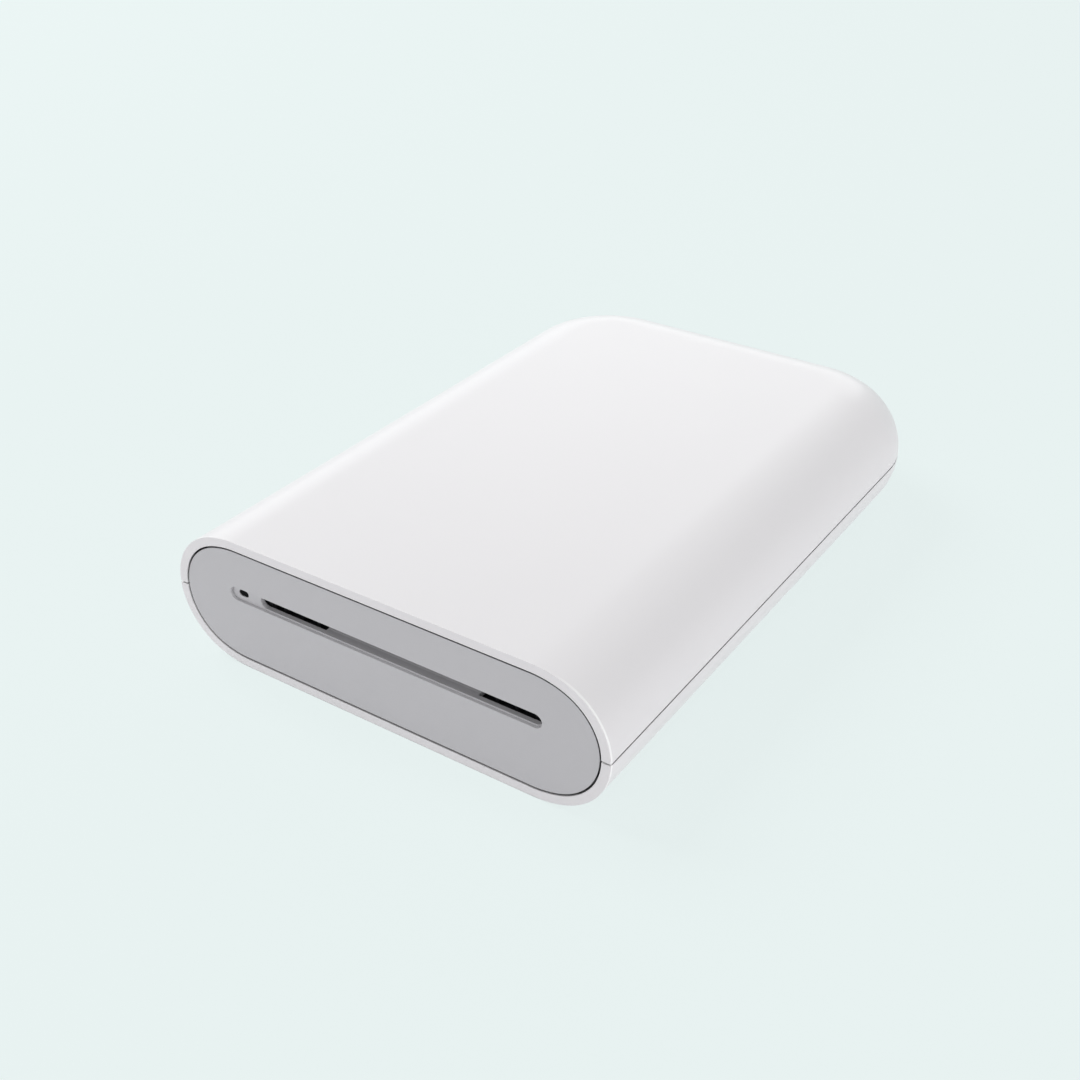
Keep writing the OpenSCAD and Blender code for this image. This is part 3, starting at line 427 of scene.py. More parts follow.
# %% [markdown]
# ## The hinge barrel
# The cover turns about a barrel that is hidden in the rear wall. It is what two shapes have in
# common: the rear outline spun about the hinge axis, and the case itself, so it lies flush with
# the wall. Its grid is built about its own middle, which stays inside both shapes out to the thin
# tips. Two slots leave room for the knuckles of the lower shell.

# %% Barrel and knuckles
def way_out(x, angle, start, inset, grow=None):
    """How far one can go from y = start in a direction before leaving the case, moved in by inset,
    or the spun outline, if grow is given."""
    shape = np.broadcast(x, angle).shape

    def inside(radius):
        """Whether the point at a radius is still inside."""
        y, up = start + radius * np.cos(angle), radius * np.sin(angle)
        out = np.hypot(beyond_corner(x), y - CORNER_Y)
        in_case = np.hypot(np.maximum(out - CORNER_R + FLANK_R, 0), up) < FLANK_R - inset
        if grow is None:
            return in_case
        return in_case & (np.hypot(y - HINGE_Y, up) < spindle_radius(x, grow))

    return halved(inside, np.zeros(shape), np.full(shape, 6.0), 30)


def barrel_span(x):
    """Front and rear of the barrel at x: from the spun outline's front to its rear or the case's,
    whichever comes first. The case's rear is at CORNER_Y + sqrt(R^2 - beyond^2)."""
    round_by = spindle_radius(x, BARREL_GROW)
    case_y = CORNER_Y + np.sqrt(CORNER_R**2 - beyond_corner(x) ** 2) - BARREL_SHAVED
    return HINGE_Y - round_by, np.minimum(HINGE_Y + round_by, case_y)


def barrel(start, stop, steps):
    """One closed length of the barrel. Its ends are shut by a station drawn in to the middle."""
    x = np.concatenate([[start], np.linspace(start, stop, steps), [stop]])[:, None]
    angle = np.linspace(0, 2 * math.pi, 56, endpoint=False)[None, :]
    middle = sum(barrel_span(x)) / 2
    radius = way_out(x, angle, middle, BARREL_SHAVED, BARREL_GROW)
    radius[[0, -1]] = 0
    return tube(place(middle + radius * np.cos(angle), MID + radius * np.sin(angle), x, "x"))


def around_hinge(x, grow, inset, angle):
    """Grid of points on the spun outline, no further out than the case: stations along x by
    directions about the hinge axis."""
    x, angle = x[:, None], angle[None, :]
    radius = np.minimum(spindle_radius(x, grow), way_out(x, angle, HINGE_Y, inset))
    return place(HINGE_Y + radius * np.cos(angle), MID + radius * np.sin(angle), x, "x")


def knuckle(x):
    """A lower-shell knuckle: the barrel's round, flush with the case, on a small foot."""
    angle = np.linspace(0, 2 * math.pi, 48, endpoint=False)
    ring = around_hinge(np.array([x]), BARREL_GROW, 0.0, angle)[0, :, 1:]
    span = (x - KNUCKLE_HALF, x + KNUCKLE_HALF)
    front, rear, foot, head = HINGE_Y - 1.6, HINGE_Y + 1.2, MID - 3.4, MID - 1.6
    stand = [(front, foot), (rear, foot), (rear, head), (front, head)]
    return [prism(ring, span, "x"), prism(stand, span, "x")]


def trough():
    """The rounded channel under the barrel: a sector between two spun outlines."""
    x, angle = np.linspace(-28, 28, 29), np.radians(np.linspace(206, 300, 16))
    inner = around_hinge(x, COVE_GROW, TROUGH_INSET, angle)
    outer = around_hinge(x, TROUGH_GROW, TROUGH_INSET, angle)
    sides = [skin(inner), skin(outer)]
    sides += [skin(np.stack([inner[:, k], outer[:, k]])) for k in (0, -1)]
    sides += [skin(np.stack([inner[k], outer[k]])) for k in (0, -1)]
    return closed(sides)


SLOT = KNUCKLE_HALF + KNUCKLE_GAP
fine_x = np.linspace(CORNER_X, CORNER_X + 12, 4001)
barrel_front, barrel_rear = barrel_span(fine_x)
tip = fine_x[barrel_front < barrel_rear][-1]
barrels = [
    barrel(-KNUCKLE_X + SLOT, KNUCKLE_X - SLOT, 6),
    barrel(KNUCKLE_X + SLOT, tip, 36),
    barrel(-tip, -KNUCKLE_X - SLOT, 36),
]
print("barrel in", len(barrels), "lengths, the outer ones run out at", round(tip, 2), "mm")

# %% [markdown]
# ## The cover
# The cover is the upper half shell with the barrel at its rear. Inside it has what a thin
# moulding needs: a lattice of ribs, two catches at the front, two ears for the paper lifter and
# two pips that keep its springs in place.

# %% Cover shell
CEILING = CASE_H - WALL + 0.1
PAPER_X = 3.5
LIFTER_X = (PAPER_X - 17, PAPER_X + 17)
LIFTER_AXIS, EAR_R, EAR_T = (-4.0, 21.4), 1.7, 1.0
RIB_X, RIB_Y, RIB_T, RIB_FOOT = (-24, -8, 15, 31), (1, 23, 45), 1.0, 21.8
CATCH_X, CATCH_HALF, CATCH_Y, CATCH_NOSE, CATCH_FOOT = (-19, 19), 3, (-59.7, -58.9), -58.2, 19.3
SPRING_AT = ((PAPER_X - 9, -21.0), (PAPER_X + 9, -21.0))


def catch_outline():
    """A catch seen from the side: a strip that hangs from the ceiling, with a nose at its foot."""
    front, rear = CATCH_Y
    nose = [(rear, CATCH_FOOT), (CATCH_NOSE, 19.9), (CATCH_NOSE, 20), (rear, 20)]
    return [(front, CEILING), (front, CATCH_FOOT), *nose, (rear, CEILING)]


def ear_outline():
    """An ear seen from the side: half a disc about the lifter's axis, then up to the ceiling."""
    y, z = LIFTER_AXIS
    turns = np.linspace(math.pi, 2 * math.pi, 13)
    disc = [(y + EAR_R * math.cos(turn), z + EAR_R * math.sin(turn)) for turn in turns]
    return disc + [(y + EAR_R, CEILING), (y - EAR_R, CEILING)]


cover = joined("cover_shell", [upper_half])
slots = [
    rod((HINGE_Y, MID), HINGE_IN + COVE_GROW, (s * KNUCKLE_X - SLOT, s * KNUCKLE_X + SLOT), "x", 48)
    for s in (-1, 1)
]
cut(cover, slots)
rib_y, rib_z = (RIB_Y[0], RIB_Y[-1] + RIB_T), (RIB_FOOT, CEILING)
inside = [block((x - RIB_T / 2, x + RIB_T / 2), rib_y, rib_z) for x in RIB_X]
inside += [block((RIB_X[0], RIB_X[-1]), (y, y + RIB_T), rib_z) for y in RIB_Y]
inside += [prism(catch_outline(), (x - CATCH_HALF, x + CATCH_HALF), "x") for x in CATCH_X]
ears_at = (LIFTER_X[0] - EAR_T - 0.2, LIFTER_X[1] + 0.2)
inside += [prism(ear_outline(), (x, x + EAR_T), "x") for x in ears_at]
inside += [rod(at, 1.2, (CEILING - 1, CEILING), "z", 24) for at in SPRING_AT]
extend(cover, barrels + inside)
soften(cover, CASE_SOFT, weigh=rim_weights)
fit(cover, "cover", ["top_cover"], "white_plastic")

# %% [markdown]
# ## The lower shell
# The lower shell is the same formula with its sign turned. Its rear edge follows the cove of the
# barrel. A lip stands up inside the seam so that no light gets through, a step holds the front
# panel, and posts carry the frame, the engine and the board. The rear wall has the openings for
# the socket, the power button and the reset pin.

# %% Lower shell
CELL_X, CELL_Y, CELL_Z = (-22, 32), (-14, 20), 2.2
FLOOR = WALL - 0.2
LIP_OUT, LIP_Y, LIP_TURN = CORNER_R - WALL, (FRONT + 2.3, -20, 20, CORNER_Y), 50
LIP_OUTLINE = [
    (LIP_OUT + 0.3, -1.6),
    (LIP_OUT + 0.3, -SEAM_GAP / 2),
    (LIP_OUT - 0.2, -SEAM_GAP / 2),
    (LIP_OUT - 0.2, 0.9),
    (LIP_OUT - 0.75, 0.9),
    (LIP_OUT - 0.75, -1.6),
]
STEP_INSETS, STEP_Y, STEP_DROP = (WALL - 0.1, WALL + 1.2), (FRONT + 2.05, FRONT + 3.05), 1.7
POSTS = [
    # Outer and bore radius, foot and head height, and places: engine, board and tray screws.
    (2.6, 0.9, FLOOR, 4.6, [(-19, -54.4), (26, -54.4)]),
    (2.0, 0.7, FLOOR, 4.2, [(-22, 28.5), (26, 28.5), (-14, 51), (22, 51)]),
    (2.2, 0.8, 2.4, 13, [(x, y) for x in (-34.9, 34.9) for y in (-53.2, 38)]),
]


def swept_lip():
    """The lip: its outline of (out, up) carried along the rail from the front to LIP_TURN degrees
    round each rear corner, on the left and mirrored on the right."""
    turn = np.radians(np.linspace(0, LIP_TURN, 14))[1:]
    out, up = np.array(LIP_OUTLINE).T
    left = on_rail(left_rail(np.array(LIP_Y), turn)[:, None], out, MID + up)
    return [tube(left, capped=True), tube(left * [-1, 1, 1], capped=True)]


def section_rail(inset, drop, steps=20):
    """The lower half of the section at an inset, from drop below the seam on the left, under the
    case, to the same height on the right, as x and z."""
    angle = np.linspace(math.asin(drop / (FLANK_R - inset)), math.pi / 2, steps)
    out, down = section_point(angle, inset)
    x, z = CORNER_X + out, MID - down
    return np.stack([np.concatenate([-x, x[::-1]]), np.concatenate([z, z[::-1]])], -1)


def panel_step(insets, y, drop):
    """A step swept under the case between two insets and two depths, shut at both ends."""
    corners = zip((*insets, *insets[::-1]), np.repeat(y, 2))
    lines = [(section_rail(inset, drop), depth) for inset, depth in corners]
    sides = [place(line[:, 0], line[:, 1], depth, "y") for line, depth in lines]
    return tube(np.stack(sides, 1), capped=True)


def post(at, outer, inner, foot, top):
    """A screw post: up the outside, in over the top, down the bore and shut at its bottom."""
    end = max(foot + 1.4, top - 5)
    profile = [(foot, 0), (foot, outer), (top, outer), (top, inner), (end, inner), (end, 0)]
    return turned(profile, at, "z")


base = joined("base_shell", [lower_half])
through = (REAR - 8, REAR + 1)
openings = [
    prism(stadium((0, PORT_Z), 9, 3.4), through, "y"),
    prism(stadium((KEY_X, PORT_Z), 8.3, 3.3), through, "y"),
    rod((RESET_X, PORT_Z), 0.6, through, "y", 20),
]
cut(base, openings)
parts = [trough(), *swept_lip(), *knuckle(-KNUCKLE_X), *knuckle(KNUCKLE_X)]
parts.append(panel_step(STEP_INSETS, STEP_Y, STEP_DROP))
parts += [post(at, *measures) for *measures, places in POSTS for at in places]
parts += [rod((x, FRONT + 4.4), 1, (FLOOR, FLOOR + 3), "z", 24) for x in (-10, 10)]
rails_at, stops_at = (CELL_X[0] + 8, CELL_X[1] - 8), (CELL_Y[0] - 1.2, CELL_Y[1] + 0.2)
parts += [block((x - 0.6, x + 0.6), CELL_Y, (FLOOR, CELL_Z - 0.02)) for x in rails_at]
parts += [block((CELL_X[0] + 6, CELL_X[1] - 6), (y, y + 1), (FLOOR, 5.5)) for y in stops_at]
extend(base, parts)
soften(base, CASE_SOFT, weigh=rim_weights)
fit(base, "case", ["lower_shell"], "white_plastic")

# %% [markdown]
# ## The front panel
# The panel sits a hair behind the rim with a fine gap all round. A shallow channel crosses it; its
# floor has the paper slot, which leaves a thin ledge below, and the hole of the status light at
# the left end. Behind the slot a tongue carries the middle of the print; beside it one looks into
# the dark funnel of the printer.

# %% Front panel
PANEL_Y, PANEL_SOFT = (FRONT + 0.1, FRONT + 2), 0.05
CHANNEL_Z, CHANNEL_HALF, CHANNEL_H, CHANNEL_DEEP = 14.6, 30.85, 2.6, 0.5
SLOT_X, SLOT_Z, SLOT_H = (PAPER_X - 28.1, PAPER_X + 27.2), CHANNEL_Z + 0.15, 2.25
LED_AT, LED_HOLE = (-28.35, CHANNEL_Z + 0.2), (2.1, 1.15)
RAMP_X, RAMP_END, SLOT_WALL = (PAPER_X - 15, PAPER_X + 15), -56, 0.85
TAB_X, TAB_HALF, TAB_Z, TAB_L, TAB_HOLE = (-10, 10), 2.6, (3.2, 4.4), 4.4, 1.05


def panel_slab(inset, y):
    """The whole section at an inset, as a slab."""
    lower = section_rail(inset, 0.0, 28)
    upper = lower[::-1][1:-1] * [1, -1] + [0, CASE_H]
    return prism(np.concatenate([lower, upper]), y, "y")


face_y, back_y = PANEL_Y
panel = joined("face_plate", [panel_slab(WALL + PANEL_GAP, PANEL_Y)])
channel = stadium((0, CHANNEL_Z), 2 * CHANNEL_HALF, CHANNEL_H, 20)
cut(panel, [prism(channel, (face_y - 1, face_y + CHANNEL_DEEP), "y")])
slot = stadium(((SLOT_X[0] + SLOT_X[1]) / 2, SLOT_Z), SLOT_X[1] - SLOT_X[0], SLOT_H, 20)
holes = [slot, stadium(LED_AT, *LED_HOLE)]
cut(panel, [prism(hole, (face_y - 1, back_y + 1), "y") for hole in holes])
behind = (face_y + CHANNEL_DEEP + SLOT_WALL, back_y + 1)
beside_ramp = [(SLOT_X[0] - 1, RAMP_X[0]), (RAMP_X[1], SLOT_X[1] + 1)]
cut(panel, [block(x, behind, (SLOT_Z - 2, SLOT_Z + 2)) for x in beside_ramp])
root = back_y - 0.1
tab_y = (root, back_y + TAB_L)
tabs = joined("tabs", [block((x - TAB_HALF, x + TAB_HALF), tab_y, TAB_Z) for x in TAB_X])
cut(tabs, [rod((x, back_y + 2.4), TAB_HOLE, (3, 5), "z", 24) for x in TAB_X])
sill = SLOT_Z - SLOT_H / 2
tongue = [
    (root, sill),
    (back_y + 1.4, sill + 0.4),
    (RAMP_END, sill + 0.6),
    (RAMP_END, sill - 0.3),
    (root, sill - 1),
]
guides = [
    block((LED_AT[0] - 2.4, LED_AT[0] + 2), (root, -55.6), (z, z + 0.8))
    for z in (CHANNEL_Z - 2.3, CHANNEL_Z + 2.1)
]
extend(panel, [tabs.data, prism(tongue, RAMP_X, "x"), *guides])
bpy.data.objects.remove(tabs)
soften(panel, PANEL_SOFT)
fit(panel, "case", ["front_panel"], "grey_plastic")

# %% [markdown]
# ## The power button
# The button is a short stadium whose face follows the case and stands 0.3 mm proud of it. The
# face is a grid: rings of the stadium shrink towards the middle and each point is pushed out to
# the curved rear of the case, so that the cap looks moulded with the wall.

# %% Power button
KEY_W, KEY_H, KEY_BACK, KEY_SOFT = 8, 3, 57.0, 0.1
RING_SHARES = [1, 1, 0.97, 0.9, 0.6, 0.3, 0.0]
RING_PROUD = [0, 0.12, 0.24, 0.3, 0.3, 0.3, 0.3]


def rear_wall(z, inset):
    """Where the rear face is at height z: flank circle about (REAR - F, MID) with radius
    F - inset."""
    return REAR - FLANK_R + np.sqrt((FLANK_R - inset) ** 2 - (z - MID) ** 2)


def button_cap():
    """Rings of a stadium from the back edge, out to the face and in to its middle."""
    ring = stadium((0, 0), KEY_W, KEY_H)
    share, proud = np.array(RING_SHARES)[:, None], np.array(RING_PROUD)[:, None]
    x, z = KEY_X + ring[:, 0] * share, PORT_Z + ring[:, 1] * share
    y = rear_wall(z, -proud)
    y[0] = KEY_BACK
    back = place(KEY_X + 0 * ring[:, 0], PORT_Z + 0 * ring[:, 1], KEY_BACK, "y")[None]
    return tube(np.concatenate([back, place(x, z, y, "y")]))


flange = block((KEY_X - 5.2, KEY_X + 5.2), (56.2, 57.2), (PORT_Z - 1.2, PORT_Z + 1.2))
plunger = block((KEY_X - 1.5, KEY_X + 1.5), (54.6, KEY_BACK), (PORT_Z - 0.9, PORT_Z + 0.9))
key = joined("power_key", [button_cap(), flange, plunger])
soften(key, KEY_SOFT)
fit(key, "button", ["power_button"], "white_plastic")

# %% [markdown]
# ## Springs
# A coil spring is a circle carried along a helix. The wire's circle lies across the helix, so the
# wire keeps its thickness; the first and last turn are flat, as ground spring ends are.

# %% Coil springs
WIRE, FLAT_TURNS, TURN_STEPS, WIRE_STEPS = 0.25, 0.8, 28, 10
HEAD_SPRINGS = ((PAPER_X - 15.5, -47), (PAPER_X + 15.5, -47))


def coil(at, radius, low, high, turns):
    """Helix (R cos a, R sin a, h(a)) with a tube of the wire's radius about it. The height h
    stays level for the first and last FLAT_TURNS turns and rises evenly between."""
    angle = np.linspace(0, 2 * math.pi * turns, int(turns * TURN_STEPS) + 1)
    share = (angle / (2 * math.pi) - FLAT_TURNS) / (turns - 2 * FLAT_TURNS)
    height = low + WIRE + (high - low - 2 * WIRE) * np.clip(share, 0, 1)
    path = np.stack([radius * np.cos(angle), radius * np.sin(angle), height], -1) + [*at, 0]
    out = np.stack([np.cos(angle), np.sin(angle), 0 * angle], -1)
    along = np.gradient(path, axis=0)
    along /= np.linalg.norm(along, axis=1, keepdims=True)
    side = np.cross(along, out)
    turn = np.linspace(0, 2 * math.pi, WIRE_STEPS, endpoint=False)[None, :, None]
    wire = path[:, None] + WIRE * (np.cos(turn) * out[:, None] + np.sin(turn) * side[:, None])
    ends = [np.broadcast_to(path[k], (1,) + wire.shape[1:]) for k in (0, -1)]
    return tube(np.concatenate([ends[0], wire, ends[1]]))


def smooth(piece, sharp_from=50):
    """Shades a rounded piece smooth, with its square corners kept."""
    piece.data.polygons.foreach_set("use_smooth", np.ones(len(piece.data.polygons), bool))
    piece.data.set_sharp_from_angle(angle=math.radians(sharp_from))


head_coils = joined("head_coils", [coil(at, 1.9, 17.9, 20.2, 4.2) for at in HEAD_SPRINGS])
smooth(head_coils)
fit(head_coils, "case", ["head_springs"], "steel")
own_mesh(head_coils)
lifter_coils = joined("lifter_coils", [coil(at, 1.8, 17.3, 23.2, 6.0) for at in SPRING_AT])
smooth(lifter_coils)
fit(lifter_coils, "cover", ["lifter_springs"], "steel")
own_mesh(lifter_coils)

# %% [markdown]
# ## Finishes
# A finish is a colour, a shine and a relief at the right scale. All patterns read Object
# coordinates, so they stay on the piece when it moves. These helpers make each node in one line.

# %% Nodes in short
def screen(red, green, blue):
    """A colour written 0 to 255, as a screen shows it, in the linear values that shaders use:
    ((c / 255 + 0.055) / 1.055) to the power 2.4."""
    return tuple(((c / 255 + 0.055) / 1.055) ** 2.4 for c in (red, green, blue)) + (1.0,)


def scaled(colour, share):
    """A colour times a share, no brighter than white."""
    return tuple(min(1.0, c * share) for c in colour[:3]) + (1.0,)


def add(owner, kind, **inputs):
    """A node of a kind in a material or world, with its inputs set by name; an underscore stands
    for a space."""
    node = owner.node_tree.nodes.new("ShaderNode" + kind)
    for name, value in inputs.items():
        node.inputs[name.replace("_", " ")].default_value = value
    return node


def link(owner, source, target):
    """Joins two sockets."""
    owner.node_tree.links.new(source, target)


def calculate(owner, operation, *sources):
    """A Math node over one or two sockets."""
    node = add(owner, "Math")
    node.operation = operation
    for source, target in zip(sources, node.inputs):
        link(owner, source, target)
    return node.outputs["Value"]


def ramp(material, source, start, stop, **to):
    """A value turned into a factor: 0 at start, 1 at stop, and level beyond them."""
    node = add(material, "MapRange", From_Min=start, From_Max=stop, **to)
    link(material, source, node.inputs["Value"])
    return node.outputs["Result"]


def mixed(material, factor, high):
    """A colour mix that gives high where factor is 1. The caller sets or links its input A."""
    mix = add(material, "Mix")
    mix.data_type = "RGBA"
    mix.inputs["B"].default_value = high
    link(material, factor, mix.inputs["Factor"])
    return mix


def on_surface(material, stretch=(1, 1, 1)):
    """Object coordinates in millimetres, stretched along each axis."""
    where = add(material, "TexCoord")
    mapping = add(material, "Mapping", Scale=tuple(s / MM for s in stretch))
    link(material, where.outputs["Object"], mapping.inputs["Vector"])
    return mapping.outputs["Vector"]


def pattern(material, kind, stretch=(1, 1, 1), **inputs):
    """A texture that reads the surface in millimetres."""
    texture = add(material, kind, **inputs)
    link(material, on_surface(material, stretch), texture.inputs["Vector"])
    return texture


print("middle grey as the shaders take it:", round(screen(128, 128, 128)[0], 3))

# %% [markdown]
# ### The base finish
# Every finish has the same base: a cloudy noise that shifts the colour a little, and a fine noise
# that gives the grain. What makes a finish special is laid over it. Numbers that are even all
# over sit on the shader's own sockets.

# %% Finish helpers
CLOUD_SCALE, ROUGH_SPREAD, GAP_OPEN, AO_SAMPLES = 0.07, 0.15, 0.62, 8
FINISH = {}


def principled(material):
    """The shader that every finish feeds."""
    return material.node_tree.nodes["Principled BSDF"]


def finish(name, colour, rough, grain, relief, cloud, stretch=(1, 1, 1), metal=0.0):
    """A base finish. grain is the size of the texture and relief its depth, both in millimetres;
    cloud is how far the colour drifts; stretch draws the grain out along an axis."""
    material = bpy.data.materials.new(name)
    material.use_nodes = True
    shader = principled(material)
    shader.inputs["Metallic"].default_value = metal
    drift = pattern(material, "TexNoise", Scale=CLOUD_SCALE, Detail=3.0)
    mix = mixed(material, drift.outputs["Fac"], scaled(colour, 1 + cloud))
    mix.inputs["A"].default_value = scaled(colour, 1 - cloud)
    link(material, mix.outputs["Result"], shader.inputs["Base Color"])
    fine = pattern(material, "TexNoise", stretch, Scale=1 / grain, Detail=2.0).outputs["Fac"]
    dull, shiny = min(1.0, rough * (1 + ROUGH_SPREAD)), rough * (1 - ROUGH_SPREAD)
    roughness = ramp(material, fine, 0.0, 1.0, To_Min=shiny, To_Max=dull)
    link(material, roughness, shader.inputs["Roughness"])
    bump = add(material, "Bump", Strength=1.0, Distance=relief * MM)
    link(material, fine, bump.inputs["Height"])
    link(material, bump.outputs["Normal"], shader.inputs["Normal"])
    return material


def make_finishes(rows, metal=0.0):
    """A finish for each row: slot, name, colour, roughness, grain, relief, cloud and, where the
    grain is drawn out, stretch."""
    for slot_name, name, colour, *measures in rows:
        FINISH[slot_name] = finish(name, screen(*colour), *measures, metal=metal)


def overlay(material, factor, colour):
    """Lays a colour over the finish where factor is 1."""
    target = principled(material).inputs["Base Color"]
    below = target.links[0].from_socket
    mix = mixed(material, factor, colour)
    link(material, below, mix.inputs["A"])
    link(material, mix.outputs["Result"], target)


def shade_gaps(material, reach, darkest, shut=0.25):
    """Darkens what lies deep in a fine gap. Ambient occlusion counts how much of a point's view
    is open within reach, in millimetres; where that falls to shut, the colour is darkest."""
    view = add(material, "AmbientOcclusion", Distance=reach * MM)
    view.samples = AO_SAMPLES
    overlay(material, ramp(material, view.outputs["AO"], GAP_OPEN, shut), darkest)


def paint_rim_highlight(material, colour):
    """Paints a highlight on the rounded edge of the front rim on its two flanks: the colour is
    lightened as painted light over the strip 0.05 to 0.5 mm behind the front, from 33 mm beside the
    middle and fully from 39 mm, in Object coordinates."""
    split = add(material, "SeparateXYZ")
    link(material, on_surface(material), split.inputs["Vector"])
    begins = ramp(material, split.outputs["Y"], FRONT + 0.05, FRONT + 0.12)
    ends = ramp(material, split.outputs["Y"], FRONT + 0.5, FRONT + 0.4)
    flanks = ramp(material, calculate(material, "ABSOLUTE", split.outputs["X"]), 33.0, 39.0)
    strip = calculate(material, "MULTIPLY", begins, ends)
    overlay(material, calculate(material, "MULTIPLY", strip, flanks), colour)


def stripe(material, direction, pitch, low, high):
    """Lines across one direction, pitch millimetres apart, as a factor from 0 to 1."""
    wave = pattern(material, "TexWave", Scale=math.pi / pitch / 10, Distortion=0.0)
    wave.bands_direction = direction
    return ramp(material, wave.outputs["Fac"], low, high)


print("roughness varies by", ROUGH_SPREAD, "of itself either way")

# %% [markdown]
# ### Plastics
# The case is a satin white moulding: nearly smooth, with a grain that only shows as a soft edge to
# the highlights. The panel is the same plastic in grey. The black frame comes from a sparked
# mould, which leaves a coarser, duller grain. Gears are natural acetal, waxy and slightly cream.

# %% Plastics
PLASTICS = [
    ("white_plastic", "satin_white", (232, 230, 232), 0.3, 0.3, 0.001, 0.006),
    ("grey_plastic", "panel_grey", (194, 193, 196), 0.42, 0.3, 0.0015, 0.012),
    ("black_plastic", "sparked_black", (40, 41, 44), 0.55, 0.25, 0.012, 0.1),
    ("dark_plastic", "guide_dark", (78, 79, 83), 0.5, 0.3, 0.006, 0.08),
    ("acetal", "natural_acetal", (232, 229, 218), 0.33, 0.5, 0.003, 0.03),
    ("white_nylon", "connector_nylon", (228, 226, 216), 0.45, 0.3, 0.005, 0.04),
    ("chip_black", "moulded_package", (34, 34, 37), 0.4, 0.12, 0.006, 0.15),
    ("led_body", "lamp_body", (240, 236, 205), 0.3, 0.2, 0.002, 0.05),
    ("red_wire", "wire_red", (176, 38, 32), 0.45, 0.3, 0.004, 0.08),
    ("smoked_plastic", "smoked_lens", (5, 5, 6), 0.2, 0.4, 0.002, 0.1),
]
make_finishes(PLASTICS)
principled(FINISH["smoked_plastic"]).inputs["Specular IOR Level"].default_value = 0.03
# The front rim's rounded outer edge gets a painted highlight in white.
paint_rim_highlight(FINISH["white_plastic"], screen(255, 255, 255))
shade_gaps(FINISH["white_plastic"], 0.7, screen(112, 112, 114))
shade_gaps(FINISH["grey_plastic"], 2.0, screen(62, 62, 64), shut=0.1)
print(len(FINISH), "plastic finishes")

# %% [markdown]
# ### Metals
# Sheet and shafts differ by how they were worked. Rolled or ground parts show fine lines, so their
# grain is stretched along the part. Cast aluminium is dull and pebbled. Sintered bronze is full
# of pores, which a cell pattern cuts into the relief.

# %% Metals
METALS = [
    ("steel", "ground_steel", (196, 197, 200), 0.28, 0.1, 0.002, 0.05, (0.08, 1, 1)),
    ("zinc_steel", "zinc_sheet", (178, 182, 188), 0.38, 0.9, 0.004, 0.12, (1, 0.3, 0.3)),
    ("aluminium", "cast_aluminium", (200, 202, 205), 0.5, 0.3, 0.012, 0.07),
    ("brass", "turned_brass", (201, 165, 92), 0.3, 0.12, 0.002, 0.06, (0.1, 1, 1)),
    ("bronze", "sintered_bronze", (158, 112, 66), 0.5, 0.15, 0.008, 0.15),
    ("battery_foil", "pouch_foil", (188, 192, 198), 0.34, 2.2, 0.05, 0.06, (1, 0.5, 1)),
]
make_finishes(METALS, metal=1.0)
pores = pattern(FINISH["bronze"], "TexVoronoi", Scale=7.0)
bump = principled(FINISH["bronze"]).inputs["Normal"].links[0].from_node
link(FINISH["bronze"], pores.outputs["Distance"], bump.inputs["Height"])
print(len(FINISH), "finishes with the metals")

# %% [markdown]
# ### Rubber, board, film and the rest
# Rubber hardly reflects. The circuit board gets fine traces: two wave patterns at right angles,
# sharpened to lines and laid under the green mask. The flat cable shows its copper tracks as
# stripes, and the cork pad its two kinds of crumb.

# %% Rubber, board, film
OTHERS = [
    ("roller_rubber", "ground_rubber", (46, 46, 48), 0.62, 0.12, 0.006, 0.1),
    ("tyre_rubber", "soft_rubber", (56, 56, 58), 0.7, 0.2, 0.012, 0.1),
    ("ceramic", "glazed_strip", (226, 219, 200), 0.12, 1.5, 0.004, 0.03),
    ("cork_pad", "cork_rubber", (134, 102, 72), 0.85, 0.5, 0.03, 0.3),
    ("green_board", "green_mask", (30, 92, 58), 0.3, 0.4, 0.004, 0.1),
    ("amber_film", "amber_film", (196, 128, 44), 0.25, 1.0, 0.004, 0.06),
]
make_finishes(OTHERS)
board, film, cork = FINISH["green_board"], FINISH["amber_film"], FINISH["cork_pad"]
overlay(board, stripe(board, "X", 1.9, 0.9, 0.94), screen(64, 134, 86))
overlay(board, stripe(board, "Y", 3.1, 0.94, 0.97), screen(64, 134, 86))
overlay(film, stripe(film, "Y", 0.9, 0.5, 0.6), screen(150, 92, 34))
crumbs = pattern(cork, "TexVoronoi", Scale=2.6).outputs["Distance"]
overlay(cork, ramp(cork, crumbs, 0.55, 0.7), screen(98, 76, 56))
print(len(FINISH), "finishes in all")

# %% [markdown]
# ## Giving every part its finish
# The CAD record says which finish slot each node has, so one loop dresses all nodes that stay,
# and the new pieces take theirs from the slot they were given.

# %% Dress all parts
SLOT_OF = {part["node"]: part["material_slot"] for part in frame["record"]["subparts"]}
NEW_PIECES = (cover, base, panel, key, head_coils, lifter_coils)
for node, piece in frame["nodes"].items():
    for material_slot in piece.material_slots:
        material_slot.material = FINISH[SLOT_OF[node]]
for piece in NEW_PIECES:
    piece.data.materials.clear()
    piece.data.materials.append(FINISH[piece["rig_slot"]])
print(len(frame["nodes"]), "CAD nodes and", len(NEW_PIECES), "new pieces dressed")

# %% [markdown]
# ## Camera
# The camera looks down from the front right. Its place is given as an angle round the object, an
# angle above the table and a distance to the middle of the case. A slight roll and shift put the
# object where it belongs in a square frame of 1080 pixels.

# %% Camera
AZIMUTH, ELEVATION, ROLL = math.radians(32.116), math.radians(30.332), math.radians(0.713)
DISTANCE, FOCAL, CENTRE_PX, IMAGE = 264.14, 1413.4, (591.8, 496.5), 1080
SENSOR = 36.0


